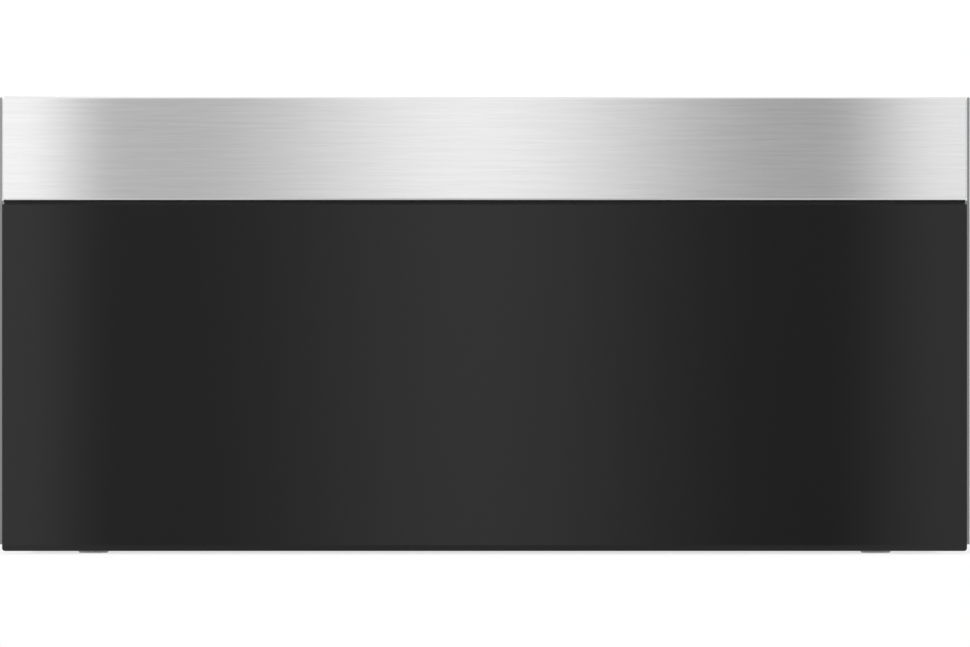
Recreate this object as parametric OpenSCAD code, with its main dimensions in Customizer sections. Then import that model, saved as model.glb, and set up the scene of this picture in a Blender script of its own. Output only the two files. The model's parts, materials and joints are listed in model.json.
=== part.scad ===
// A built-in warming drawer, 30 inches wide, with a glass and steel front that opens by a push.
// X is to the right, Y to the back and Z up. The origin is the bottom centre of the part's box.
// A value named _y is a depth behind the face of the front glass.

/* [Front panel] */
// Width of the front panel
front_w = 757; // [748:1:790]
// Height of the front panel
front_h = 357; // [340:1:375]
// Thickness of the whole front panel
front_t = 22; // [20:0.5:26]
// Height of the steel band along the top of the front
band_h = 82.5; // [65:0.5:95]
// Sheet of the steel band
band_sheet = 1.2; // [0.8:0.1:1.5]
// Bend radius of the band's long edges, on the centre of its sheet
band_bend = 2.2; // [1:0.1:2.8]
// Shadow gap between the band and the glass
shadow_gap = 2.5; // [1:0.1:5]
// Thickness of the front glass
glass_t = 4; // [3:0.5:5]
// Corner radius at the foot of the glass
glass_r = 2.4; // [1:0.1:8]
// Thickness of the tape that bonds the glass
bond_t = 0.5; // [0.3:0.1:1]
// Sheet of the carrier behind the glass
carrier_sheet = 1.2; // [1:0.1:2]
// How far the carrier stays inside the edge of the front
carrier_inset = 1.6; // [1.5:0.1:3]
// Height of the front panel's lower edge above the floor
front_lift = 2; // [2:0.5:5]
// Depth of the brackets between the carrier and the tray
bracket_d = 6; // [5:0.5:10]

/* [Trim and casing] */
// Width of the trim that shows at each side of the front
trim_show = 2.5; // [1:0.5:5]
// How far the trim reaches out past the casing
trim_reach = 22; // [19:0.5:26]
// Drop of the trim's top below the top of the front
trim_top_drop = 1; // [0.5:0.5:4]
// Rise of the trim's foot over the lower edge of the front
trim_foot_rise = 5; // [2:0.5:8]
// Height between the two niche screws of a side
niche_hole_pitch = 240; // [180:1:280]
// Distance of the niche screws from the trim's outer edge
niche_hole_inset = 9.5; // [8:0.5:12]
// Radius of a niche screw hole
niche_hole_r = 2.4; // [2:0.1:2.8]
// Depth from the glass to the back of the mains inlet
overall_d = 568; // [564:1:620]
// Drop of the casing's top below the top of the front
casing_top_drop = 7; // [6:0.5:12]
// Sheet of the casing
sheet_t = 1; // [0.8:0.1:1.4]
// Width of the casing's folded lips
lip_w = 12; // [10:0.5:15]
// Height of the feet
foot_h = 4; // [3:0.5:7]
// Radius of a foot
foot_r = 12; // [8:0.5:16]
// Height of the space above the cavity
service_h = 55; // [50:1:70]
// Depth of the space behind the cavity
rear_d = 76.5; // [76:0.5:100]
// Gap that the front closes when it is pushed
push_gap = 4; // [3.8:0.1:6]

/* [Tray] */
// Sheet of the tray
tray_sheet = 1; // [0.8:0.1:1.5]
// Bend radius of the tray's floor edges, on the centre of its sheet
tray_bend = 6; // [3:0.5:10]
// Width of the rolled edge along the top of the tray
tray_hem = 4; // [3:0.5:5]
// Gap under the tray
tray_floor_gap = 17; // [16:0.5:24]
// Gap above the tray
tray_top_gap = 8; // [7:0.5:14]
// Gap behind the tray
tray_back_gap = 8; // [8:0.5:14]
// Thickness of the non-slip mat
mat_t = 2; // [1:0.5:4]
// Width of the half rack
rack_w = 318; // [260:1:330]
// Height of the half rack
rack_h = 118; // [80:1:140]
// Wire of the rack
rack_wire = 4; // [3:0.5:6]
// Number of thin wires across the rack
rack_wires = 11; // [6:1:16]

/* [Runners] */
// Height of a runner
rail_h = 45; // [42:0.5:50]
// Thickness of a runner, side to side
rail_t = 12.7; // [12.7:0.1:14]
// Steel of the outer and inner rails
rail_steel = 1.2; // [1:0.1:1.3]
// Steel of the middle rail
mid_steel = 1; // [0.8:0.1:1.1]
// Height of the runner's centre above the floor
rail_z = 92; // [70:1:150]
// Distance of the runner behind the casing's front edge
rail_inset = 3; // [2:0.5:6]
// Diameter of a runner ball
ball_d = 3.8; // [3.4:0.1:3.9]
// Balls in each row of a cage
ball_count = 10; // [4:1:14]
// Clearance of a ball in its race
race_gap = 0.1; // [0.05:0.01:0.12]
// Strip of the ball cages
cage_t = 0.6; // [0.4:0.1:0.7]
// Clearance of the cage strips
cage_gap = 0.3; // [0.25:0.01:0.35]
// Stand-off of the runner from the casing side
hanger_t = 2.5; // [2:0.1:4]

/* [Warm air] */
// Radius of the fan wheel
fan_r = 58; // [45:1:62]
// Width of the fan's blades, front to back
fan_w = 20; // [14:1:22]
// Number of fan blades
blade_count = 14; // [8:1:20]
// Radius of the fan's shaft
shaft_r = 3; // [2.5:0.1:4]
// Radius of the heater ring, to the middle of its tube
heater_r = 78; // [72:1:84]
// Radius of the heater's tube
heater_tube_r = 3.25; // [2.5:0.05:4]
// Depth of the fan chamber
chamber_d = 38; // [36:1:42]
// Width of the fan chamber
chamber_w = 320; // [260:1:400]
// Gap above and below the heater in the fan chamber
chamber_gap = 18.75; // [17:0.25:28]

/* [Controls and catch] */
// Width of the touch strip
strip_w = 420; // [300:1:500]
// Height of the touch strip
strip_h = 34; // [24:1:38]
// Thickness of the touch strip
strip_t = 3; // [2:0.5:4]
// Sideways place of the catch
catch_x = 240; // [120:1:280]
// Length of the catch's housing
catch_l = 110; // [90:1:140]
// Gap between the plunger and the striker
strike_gap = 3.3; // [3.3:0.1:5]
// Radius of the plunger's rod
plunger_r = 3.5; // [2.5:0.1:4]
// Distance of the mains inlet from the inside of the casing's left side
inlet_inset = 108; // [60:1:160]

/* [Hidden] */
$fn = 48;

steel = [0.74, 0.75, 0.76];
galvanised = [0.62, 0.64, 0.66];
black = [0.08, 0.08, 0.09];
dark_glass = [0.12, 0.12, 0.13];

// Widths
trim_w = front_w + 2 * trim_show;
casing_hw = trim_w / 2 - trim_reach;
inner_hw = casing_hw - sheet_t;
rail_x = inner_hw - hanger_t;
tray_hw = rail_x - rail_t;
tray_in_hw = tray_hw - tray_sheet;
carrier_hw = front_w / 2 - carrier_inset;

// Heights
floor_top = foot_h + sheet_t;
front_top = front_lift + front_h;
band_z = front_top - band_h;
glass_top = band_z - shadow_gap;
carrier_z = front_lift + carrier_inset;
carrier_top = front_top - band_sheet - carrier_inset / 4;
trim_z = front_lift + trim_foot_rise;
trim_top = front_top - trim_top_drop;
front_rail_lip = 4;
front_rail_top = trim_z + front_rail_lip;
casing_top_z = front_top - casing_top_drop;
cover_z = casing_top_z - sheet_t - service_h;
tray_z = floor_top + tray_floor_gap;
tray_floor = tray_z + tray_sheet;
tray_top = cover_z - tray_top_gap;
mat_top = tray_floor + mat_t;
niche_z = (trim_z + trim_top) / 2;
fan_z = (floor_top + cover_z) / 2;
chamber_h = 2 * (heater_r + heater_tube_r + chamber_gap);

// Depths
inlet_flange = 2.5;
rail_fold = 14;
flange_y = front_t + push_gap;
casing_y = flange_y + sheet_t;
back_y = overall_d - inlet_flange;
back_in_y = back_y - sheet_t;
baffle_y = back_in_y - rear_d;
baffle_back = baffle_y + sheet_t;
tray_y = front_t + bracket_d;
tray_in_y = tray_y + tray_sheet;
tray_back = baffle_y - tray_back_gap;
tray_in_back = tray_back - tray_sheet;
carrier_y = glass_t + bond_t;
rail_y = casing_y + rail_inset;
rail_l = tray_back - rail_y;

// Runner section. u runs from the casing side to the tray, v up from the runner's centre.
ball_r = ball_d / 2;
race_r = ball_r + race_gap;
outer_race = race_r + rail_steel / 2;
mid_race = race_r + mid_steel / 2;
mid_web = rail_steel + 2 * cage_gap + cage_t + mid_steel / 2;
outer_row = [mid_web + mid_steel / 2 + 2.2, rail_h / 2 - rail_steel - race_r];
row_lean = 60;
inner_row = outer_row + 2 * mid_race * [cos(row_lean), -sin(row_lean)];
cage_l = rail_l / 2 - 20;
cage_y = rail_y + (rail_l - cage_l) / 2;
rivet_r = 2.5;
rivet_gap = 0.05;
rivets_y = [for (k = [0.08, 0.5, 0.92]) rail_y + k * rail_l];

// Fan chamber
chamber_y = baffle_back;
chamber_back = chamber_y + chamber_d;
chamber_sheet = 0.8;
wheel_y = chamber_y + 8;
heater_y = wheel_y + fan_w / 2;
heater_bend = 8;
heater_open = 18;
heater_end = heater_r * [sin(heater_open), -cos(heater_open)];
heater_leg = heater_end - heater_bend * [cos(heater_open), sin(heater_open)];

// Catch, under the tray
catch_z = floor_top + 8.5;
catch_hw = 17;
catch_back = 60;
catch_y = tray_back - catch_back - catch_l;
plunger_tip = 3;
striker_t = 3;
striker_y = catch_y - plunger_tip - strike_gap - striker_t;
// The striker passes over the front rail as the drawer opens
striker_clear = 0.8;
striker_foot = front_rail_top + striker_clear;

// Screws
screw_r = 1.5;
screw_hole = 1.75;
lip_mid = lip_w / 2;
screw_edge = 35;
screw_span = 200;
back_screw_rows = [
    floor_top + screw_edge, (floor_top + casing_top_z) / 2, casing_top_z - screw_edge
];
back_screws = concat(
    [for (sx = [-1, 1], z = back_screw_rows) [sx * (inner_hw - lip_mid), z]],
    [for (x = [-screw_span, 0, screw_span]) [x, casing_top_z - sheet_t - lip_mid]]
);
front_screw_r = 2;
front_screw_hole = 2.25;
bracket_in = 90;
bracket_out = 250;
bracket_w = 34;
bracket_x = [-bracket_out, -bracket_in, bracket_in, bracket_out];
bolt_low = 70;
bolt_high = 240;
bolt_edge = 22;
front_bolts = [for (x = bracket_x, z = [bolt_low, bolt_high]) [x, z]];
foot_inset = 50;
foot_front = 63;
foot_back = 60;
foot_places = [for (sx = [-1, 1], y = [casing_y + foot_front, back_y - foot_back])
    [sx * (inner_hw - foot_inset), y]];

// Points of an arc
function arc(c, r, a0, a1, n = 8) =
    [for (i = [0:n]) let (a = a0 + (a1 - a0) * i / n) c + r * [cos(a), sin(a)]];
function unit(v) = v / norm(v);
function left_of(v) = [-v.y, v.x];
// Shift of a point of a centreline to the face of its sheet, mitred at a bend
function mitre(p, i, t) =
    let (
        a = i > 0 ? unit(p[i] - p[i - 1]) : unit(p[1] - p[0]),
        b = i < len(p) - 1 ? unit(p[i + 1] - p[i]) : a,
        n = unit(left_of(a) + left_of(b))
    ) n * (t / 2 / (n * left_of(a)));
// Outline of a bent sheet, from its centreline and thickness
function bent(p, t) = concat(
    [for (i = [0:len(p) - 1]) p[i] + mitre(p, i, t)],
    [for (i = [len(p) - 1:-1:0]) p[i] - mitre(p, i, t)]
);
function flipped(p) = [for (i = [len(p) - 1:-1:0]) [p[i].x, -p[i].y]];
function swapped(p) = [for (i = [len(p) - 1:-1:0]) [-p[i].x, p[i].y]];
// Rounded rectangle about the origin, with a radius for each corner: foot left, foot right, top right,
// top left
function round_rect(w, h, r) = concat(
    arc([-w / 2 + r[0], -h / 2 + r[0]], r[0], 180, 270, 6),
    arc([w / 2 - r[1], -h / 2 + r[1]], r[1], 270, 360, 6),
    arc([w / 2 - r[2], h / 2 - r[2]], r[2], 0, 90, 6),
    arc([-w / 2 + r[3], h / 2 - r[3]], r[3], 90, 180, 6)
);
function all_round(w, h, r) = round_rect(w, h, [r, r, r, r]);

module place() translate([0, -overall_d / 2, 0]) children();
module box(lo, hi) translate(lo) cube(hi - lo);
// A flat shape in X and Z, given depth from y to y + l
module along_y(y, l) translate([0, y + l, 0]) rotate([90, 0, 0]) linear_extrude(l) children();
// A flat shape in Y and Z, given width from x to x + l
module along_x(x, l) translate([x, 0, 0]) rotate([90, 0, 90]) linear_extrude(l) children();
module rod_y(p, y, l, r) translate([p.x, y, p.y]) rotate([-90, 0, 0]) cylinder(h = l, r = r);
module rod_x(y, z, x, l, r) translate([x, y, z]) rotate([0, 90, 0]) cylinder(h = l, r = r);
module on_left() mirror([1, 0, 0]) children();

// ---- Casing ----

// Beads pressed into the large sheets to stiffen them
bead_w = 16;
bead_rise = 1.5;
bead_step = 110;
floor_bead_l = 2 * (inner_hw - foot_inset - 4 * foot_r);
top_bead_l = 2 * (inner_hw - 58);
side_bead_l = baffle_y - casing_y - 61;
back_bead_x = inner_hw - 48;
back_bead_l = casing_top_z - 132;
back_bead_z = (floor_top + casing_top_z) / 2;
// A bead w by l in X and Y that stands out of the upper face of a sheet whose lower face is at z = 0
module bead(w, l) linear_extrude(sheet_t + bead_rise) polygon(all_round(w, l, bead_w / 2 - 0.1));
// The hollow under that bead
module bead_hollow(w, l) translate([0, 0, -1]) linear_extrude(bead_rise + 1)
    polygon(all_round(w - 2 * sheet_t, l - 2 * sheet_t, bead_w / 2 - sheet_t - 0.1));

module floor_beads() for (k = [0.6:0.8:2.2])
    translate([0, casing_y + k * bead_step, foot_h]) children();
module casing_floor() color(galvanised) place() difference() {
    union() {
        box([-inner_hw, casing_y, foot_h], [inner_hw, back_in_y, floor_top]);
        floor_beads() bead(floor_bead_l, bead_w);
    }
    floor_beads() bead_hollow(floor_bead_l, bead_w);
    for (f = foot_places) translate([f.x, f.y, foot_h - 1]) cylinder(h = sheet_t + 2, r = screw_hole);
}

side_slot_h = 26;
side_slot_step = 14;
module side_beads() for (k = [0, 1])
    translate([inner_hw, (casing_y + baffle_y) / 2, rail_z + rail_h + (k + 0.6) * bead_step / 2])
        rotate([90, 0, 90]) children();
// Side sheet with lips folded in at its foot, top and back, and a row of cooling slots
module casing_side() color(galvanised) place() difference() {
    union() {
        box([inner_hw, casing_y, foot_h], [casing_hw, back_y, casing_top_z]);
        side_beads() bead(side_bead_l, bead_w);
        box([inner_hw - lip_w, casing_y + rail_fold + 0.5, floor_top],
            [inner_hw, back_in_y, floor_top + sheet_t]);
        box([inner_hw - lip_w, casing_y, casing_top_z - 2 * sheet_t],
            [inner_hw, back_in_y, casing_top_z - sheet_t]);
        box([inner_hw - lip_w, back_in_y - sheet_t, floor_top],
            [inner_hw, back_in_y, casing_top_z - sheet_t]);
    }
    side_beads() bead_hollow(side_bead_l, bead_w);
    for (s = back_screws) rod_y(s, back_in_y - 2 * sheet_t, 3 * sheet_t, screw_hole);
    for (i = [0:8])
        along_x(inner_hw - 1, sheet_t + 2)
            translate([back_in_y - slot_from_back - side_slot_step * i, cover_z + service_h / 2])
                polygon(all_round(slot_w, side_slot_h, slot_end));
}
module casing_side_right() casing_side();
module casing_side_left() on_left() casing_side();

slot_from_back = 60;
top_slot_x = 120;
top_slot_h = 50;
top_slot_step = 16;
module top_beads() for (k = [0.7:1:2.7])
    translate([0, casing_y + k * bead_step, casing_top_z - sheet_t]) children();
module casing_top() color(galvanised) place() difference() {
    union() {
        box([-inner_hw, casing_y, casing_top_z - sheet_t], [inner_hw, back_in_y, casing_top_z]);
        top_beads() bead(top_bead_l, bead_w);
    }
    top_beads() bead_hollow(top_bead_l, bead_w);
    for (sx = [-1, 1], i = [0:9])
        translate([
            sx * (top_slot_x + top_slot_step * i), back_in_y - slot_from_back, casing_top_z - 2 * sheet_t
        ]) linear_extrude(3 * sheet_t) polygon(all_round(slot_w, top_slot_h, slot_end));
}

back_slot_x = 70;
back_slot_h = 44;
back_slot_step = 12;
back_slot_drop = 16;
vent_r = 3.5;
vent_step = 11;
module back_beads() for (sx = [-1, 1])
    translate([sx * back_bead_x, back_in_y, back_bead_z]) rotate([-90, 0, 0]) children();
module casing_back() color(galvanised) place() difference() {
    union() {
        box([-inner_hw, back_in_y, foot_h], [inner_hw, back_y, casing_top_z]);
        back_beads() bead(bead_w, back_bead_l);
        box([-inner_hw + lip_w, back_in_y - sheet_t, casing_top_z - sheet_t - lip_w],
            [inner_hw - lip_w, back_in_y, casing_top_z - sheet_t]);
    }
    for (s = back_screws) rod_y(s, back_in_y - 2 * sheet_t, 4 * sheet_t, screw_hole);
    back_beads() bead_hollow(bead_w, back_bead_l);
    for (sx = [-1, 1], i = [0:11])
        along_y(back_in_y - 1, sheet_t + 2)
            translate([sx * (back_slot_x + back_slot_step * i), cover_z - back_slot_drop])
                polygon(all_round(slot_w, back_slot_h, slot_end));
    for (k = [1:3], a = [0:60:359])
        rod_y([k * vent_step * cos(a + 20 * k), fan_z + k * vent_step * sin(a + 20 * k)],
            back_in_y - 1, sheet_t + 2, vent_r);
    along_y(back_in_y - 1, sheet_t + 2)
        translate([inlet_x, inlet_z]) polygon(inlet_outline(inlet_body_gap));
}

// Front trim at a side: a plate that shows past the front, and a leg along the casing
module trim_flange() color(steel) place() difference() {
    union() {
        box([inner_hw, flange_y, trim_z], [trim_w / 2, casing_y, trim_top]);
        box([casing_hw, casing_y, trim_z], [casing_hw + sheet_t, casing_y + 20, casing_top_z]);
    }
    for (dz = [-0.5, 0.5] * niche_hole_pitch)
        rod_y([trim_w / 2 - niche_hole_inset, niche_z + dz], flange_y - 1, sheet_t + 2, niche_hole_r);
}
module trim_flange_right() trim_flange();
module trim_flange_left() on_left() trim_flange();

module front_rail_bottom() color(steel) place()
    along_x(-inner_hw, 2 * inner_hw)
        polygon(bent([
            [casing_y + rail_fold, floor_top + sheet_t / 2],
            [flange_y + sheet_t / 2, floor_top + sheet_t / 2],
            [flange_y + sheet_t / 2, front_rail_top]
        ], sheet_t));

feet_chamfer = 1;
module feet() color(black) place()
    for (f = foot_places) translate([f.x, f.y, 0]) rotate_extrude() polygon([
        [0, 0], [foot_r - feet_chamfer, 0], [foot_r, feet_chamfer], [foot_r, foot_h],
        [screw_r, foot_h], [screw_r, floor_top + 2], [0, floor_top + 2]
    ]);

module casing_screws() color(steel) place()
    for (s = back_screws) translate([s.x, back_y, s.y]) rotate([90, 0, 0]) rotate_extrude() polygon([
        [0, -1.7], [2.4, -1.7], [3.4, -0.9], [3.4, 0], [screw_r, 0], [screw_r, 6], [0, 7]
    ]);

// ---- Controls, above the cavity ----

fascia_z = cover_z + sheet_t;
strip_z = (fascia_z + sheet_t + trim_top) / 2;
strip_gap = 0.3;
board_y = casing_y + 7;
board_t = 1.6;
post_r = 3;
post_inset = 30;
board_inset = 10;
board_h = strip_h - 6;
board_posts = [for (sx = [-1, 1], sz = [-1, 1])
    [sx * (strip_w / 2 - post_inset), strip_z + sz * (board_h / 2 - 5)]];
chip_x = -52;
chip_w = 16;
chip_t = 2;
socket_x = 125;
socket_w = 30;
socket_h = 7;
buzzer_x = 60;
buzzer_r = 7;

// Panel that the open drawer uncovers, with a fold at its foot that lies on the cavity cover
module control_fascia() color(steel) place() difference() {
    union() {
        box([-inner_hw, flange_y, fascia_z], [inner_hw, casing_y, trim_top]);
        box([-inner_hw + 2 * sheet_t, flange_y, fascia_z],
            [inner_hw - 2 * sheet_t, casing_y + 16, fascia_z + sheet_t]);
    }
    along_y(flange_y - 1, sheet_t + 2)
        translate([0, strip_z])
            polygon(all_round(strip_w + 2 * strip_gap, strip_h + 2 * strip_gap, strip_r));
}

// Touch strip with a rear ledge that bears on the back of the fascia
ledge_w = 6;
ledge_h = 4;
strip_r = 4;
module control_glass() color(black) place() translate([0, 0, strip_z]) {
    along_y(flange_y, sheet_t) polygon(all_round(strip_w, strip_h, strip_r));
    along_y(casing_y, strip_t - sheet_t)
        polygon(all_round(strip_w + 2 * ledge_w, strip_h + 2 * ledge_h, strip_r));
}

// Circuit board on four posts, with a socket, a buzzer and a chip on its back
module control_board() color([0.1, 0.35, 0.2]) place() {
    along_y(board_y, board_t)
        translate([0, strip_z]) polygon(all_round(strip_w - 2 * board_inset, board_h, 2));
    for (p = board_posts) rod_y(p, flange_y + strip_t, board_y - flange_y - strip_t, post_r);
    box([chip_x - chip_w / 2, board_y + board_t, strip_z - chip_w / 2],
        [chip_x + chip_w / 2, board_y + board_t + chip_t, strip_z + chip_w / 2]);
    box([socket_x - socket_w / 2, board_y + board_t, strip_z - socket_h - 2],
        [socket_x + socket_w / 2, board_y + board_t + socket_h + 2, strip_z - 2]);
    rod_y([buzzer_x, strip_z], board_y + board_t, buzzer_r, buzzer_r);
}

// ---- Cavity and warm air ----

module cavity_cover() color(galvanised) place()
    along_y(casing_y, baffle_y - casing_y + rear_d / 4)
        polygon(bent([
            [-inner_hw + sheet_t / 2, cover_z + lip_w],
            [-inner_hw + sheet_t / 2, cover_z + sheet_t / 2],
            [inner_hw - sheet_t / 2, cover_z + sheet_t / 2],
            [inner_hw - sheet_t / 2, cover_z + lip_w]
        ], sheet_t));

blanket_t = 22;
module insulation_blanket() color([0.85, 0.84, 0.78]) place()
    translate([0, (casing_y + baffle_y) / 2 + 15, cover_z + sheet_t])
        linear_extrude(blanket_t)
            polygon(all_round(2 * inner_hw - 2 * lip_w - 4, baffle_y - casing_y - 40, 8));

slot_w = 5;
slot_h = 60;
slot_pitch = 13;
slot_end = slot_w / 2 - 0.05;
side_slot_x = 200;
side_slot_dz = 45;
side_slots = [for (sx = [-1, 1], i = [0:7], sz = [-1, 1])
    [sx * (side_slot_x + slot_pitch * i), fan_z + sz * side_slot_dz]];
eye_r = fan_r - 14;
// Slots that let the fan draw in over its eye, each as long as the circle is wide there
eye_slots = [for (i = [-4:4]) [i * eye_r / 4.6, sqrt(eye_r * eye_r - pow(i * eye_r / 4.6, 2))]];

module air_slots(y, t) {
    for (s = side_slots) along_y(y, t) translate(s) polygon(all_round(slot_w, slot_h, slot_end));
    for (s = eye_slots)
        along_y(y, t) translate([s.x, fan_z]) polygon(all_round(slot_w, 2 * s.y, slot_end));
}

sensor_p = [150, (tray_top + cover_z) / 2];
sensor_r = 2;
sensor_reach = 18;
sensor_l = 40;
sensor_gap = 0.2;

module fan_baffle() color(galvanised) place() difference() {
    along_x(-inner_hw, 2 * inner_hw)
        polygon(bent([
            [baffle_back + lip_w, floor_top + 1.5 * sheet_t],
            [baffle_y + sheet_t / 2, floor_top + 1.5 * sheet_t],
            [baffle_y + sheet_t / 2, cover_z - sheet_t / 2],
            [baffle_back + lip_w, cover_z - sheet_t / 2]
        ], sheet_t));
    air_slots(baffle_y - 1, sheet_t + 2);
    rod_y(sensor_p, baffle_y - 1, lip_w + 4, sensor_r + sensor_gap);
}

// Pan that closes the fan in behind the baffle, with a rim for its screws
chamber_r = 12;
leg_gap = 0.3;
module fan_chamber() color(galvanised) place() translate([0, 0, fan_z]) difference() {
    union() {
        along_y(chamber_y, chamber_sheet)
            polygon(all_round(chamber_w + 2 * lip_w, chamber_h + 2 * lip_w, chamber_r + lip_w / 2));
        along_y(chamber_y, chamber_d) polygon(all_round(chamber_w, chamber_h, chamber_r));
    }
    along_y(chamber_y - 1, chamber_d + 1 - chamber_sheet) polygon(all_round(
        chamber_w - 2 * chamber_sheet, chamber_h - 2 * chamber_sheet, chamber_r - chamber_sheet
    ));
    rod_y([0, 0], chamber_back - 2, 4, shaft_r + 5);
    for (sx = [-1, 1])
        rod_y([sx * heater_leg.x, heater_leg.y], chamber_back - 2, 4, heater_tube_r + leg_gap);
}

// Tubular heater: an open ring round the fan, its two ends bent back and led out through the chamber
module ring_heater() color([0.45, 0.42, 0.4]) place() translate([0, heater_y, fan_z]) rotate([90, 0, 0]) {
    rotate([0, 0, 270 + heater_open]) rotate_extrude(angle = 360 - 2 * heater_open, $fn = 96)
        translate([heater_r, 0]) circle(heater_tube_r);
    leg_l = chamber_back - heater_y + 12 - heater_bend;
    for (s = [0, 1]) mirror([s, 0, 0]) translate(heater_end) rotate([0, 0, 180 + heater_open]) {
        translate([0, 0, -heater_bend]) rotate([90, 0, 0])
            rotate_extrude(angle = 90) translate([heater_bend, 0]) circle(heater_tube_r);
        translate([heater_bend, 0, -heater_bend - leg_l]) cylinder(h = leg_l, r = heater_tube_r);
        translate([heater_bend, 0, -heater_bend - leg_l - 9]) cylinder(h = 10, r = 1.2);
    }
}

// Backward-curved blades between a back plate and a front ring, on a hub
hub_r = 8;
wheel_sheet = 0.8;
blade_bow = 34;
module fan_wheel() color(steel) place() translate([0, wheel_y, fan_z]) rotate([-90, 0, 0]) difference() {
    union() {
        translate([0, 0, fan_w - wheel_sheet]) cylinder(h = wheel_sheet, r = fan_r);
        translate([0, 0, fan_w - 9]) cylinder(h = 9, r = hub_r);
        difference() {
            cylinder(h = wheel_sheet, r = fan_r);
            translate([0, 0, -1]) cylinder(h = wheel_sheet + 2, r = eye_r);
        }
        for (i = [0:blade_count - 1]) rotate(i * 360 / blade_count)
            translate([0, 0, wheel_sheet / 2]) linear_extrude(fan_w - wheel_sheet)
                polygon(bent(arc([fan_r * 0.72, -blade_bow], blade_bow, 66, 118, 6), wheel_sheet));
    }
    translate([0, 0, -1]) cylinder(h = fan_w + 2, r = shaft_r);
}

motor_y = chamber_back + 7;
stack_t = 18;
rotor_r = 14;
rotor_gap = 0.4;
bearing_gap = 0.05;
stack_w = 60;
stack_h = 64;
stack_drop = 12;
strap_t = 1.6;
strap_w = 52;
strap_h = 15;
strap_off = 3;
coil_w = 33;
coil_h = 22;
coil_over = 5;
limb_h = 13;
coil_z = fan_z - stack_drop - stack_h / 2 + limb_h / 2;
// Shaft with the motor's rotor and a lock nut in front of the wheel
module fan_shaft() color(steel) place() {
    rod_y([0, fan_z], wheel_y + 4, motor_y + stack_t + 9 - wheel_y - 4, shaft_r);
    difference() {
        rod_y([0, fan_z], motor_y, stack_t, rotor_r);
        rod_y([0, fan_z], motor_y - 1, stack_t + 2, shaft_r);
    }
}

// Laminated stack round the rotor, its coil below, and a bearing strap at each face
module bearing_strap(y, side) {
    difference() {
        union() {
            along_y(y, strap_t) translate([0, fan_z]) polygon(all_round(strap_w, strap_h, 5));
            rod_y([0, fan_z], side > 0 ? y : y - 2.4, 4, shaft_r + 3.5);
            for (x = [-1, 1] * (strap_w / 2 - 5))
                rod_y([x, fan_z], side > 0 ? motor_y + stack_t : y, strap_off + strap_t, 3);
        }
        rod_y([0, fan_z], y - 6, 14, shaft_r + bearing_gap);
    }
}
module fan_motor() color([0.4, 0.41, 0.43]) place() {
    difference() {
        along_y(motor_y, stack_t)
            translate([0, fan_z - stack_drop]) polygon(all_round(stack_w, stack_h, 4));
        rod_y([0, fan_z], motor_y - 1, stack_t + 2, rotor_r + rotor_gap);
        along_y(motor_y - 1, stack_t + 2)
            translate([0, coil_z + (limb_h + coil_h) / 4 + 1.75]) polygon(all_round(coil_w + 1, 9, 2));
    }
    bearing_strap(motor_y - strap_off - strap_t, -1);
    bearing_strap(motor_y + stack_t + strap_off, 1);
    for (sx = [-1, 1])
        rod_y([sx * (stack_w / 2 - 5), fan_z + rotor_r], chamber_back, motor_y - chamber_back, 3.5);
    difference() {
        along_y(motor_y - coil_over, stack_t + 2 * coil_over)
            translate([0, coil_z + 0.5]) polygon(all_round(coil_w, coil_h, coil_over));
        along_y(motor_y, stack_t) translate([0, coil_z]) square([stack_w, limb_h], center = true);
    }
}

// Probe that reaches over the tray, in a bush on the baffle
module temperature_sensor() color(steel) place() {
    rod_y(sensor_p, baffle_y - sensor_reach, sensor_l, sensor_r);
    rod_y(sensor_p, baffle_y - 2, 2, sensor_r + 1.4);
}

// Round thermostat on top of the chamber, with two blade terminals
cutout_x = 70;
cutout_r = 8;
cutout_h = 9;
blade_t = 0.8;
blade_w = 6;
blade_h = 11;
module thermal_cutout() color([0.2, 0.2, 0.2]) place()
    translate([cutout_x, chamber_y + chamber_d / 2, fan_z + chamber_h / 2]) {
        cylinder(h = 2, r = cutout_r + 3);
        translate([0, 0, 1]) cylinder(h = cutout_h, r = cutout_r);
        for (x = [-0.5, 0.5] * cutout_r)
            translate([x - blade_t / 2, -blade_w / 2, cutout_h]) cube([blade_t, blade_w, blade_h]);
    }

// Board with a terminal block, a transformer and two relays, on posts in the rear space
power_w = 150;
power_d = 48;
power_gap = 7;
power_lift = 12;
power_edge = 6;
transformer = [36, 32, 30];
relay = [18, 28, 15];
terminals = [40, 12, 12];
power_y = back_in_y - power_gap - power_d;
power_z = floor_top + power_lift;
module power_board() color([0.1, 0.3, 0.45]) place() translate([inlet_x, power_y, power_z]) {
    cube([power_w, power_d, board_t]);
    for (x = [power_edge, power_w - power_edge], y = [power_edge, power_d - power_edge])
        translate([x, y, -power_lift]) cylinder(h = power_lift, r = post_r);
    translate([power_edge, power_edge, board_t]) {
        translate([2, 0, 0]) cube(transformer);
        for (k = [0, 1]) translate([transformer.x + 12 + k * (relay.x + 4), 0, 0]) cube(relay);
        translate([power_w - 2 * power_edge - terminals.x - 2, 0, 0]) cube(terminals);
    }
}

// Three-pin appliance inlet: a flange outside the back, a body inside and a keyed pocket
inlet_x = inlet_inset - inner_hw;
inlet_z = 62;
inlet_w = 27.2;
inlet_h = 19.8;
inlet_depth = 22;
inlet_pocket = 17;
inlet_body_gap = 0.4;
inlet_wall = 1.6;
inlet_pin_l = 10;
inlet_pins = [[-7, -3], [0, 3], [7, -3]];
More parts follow.
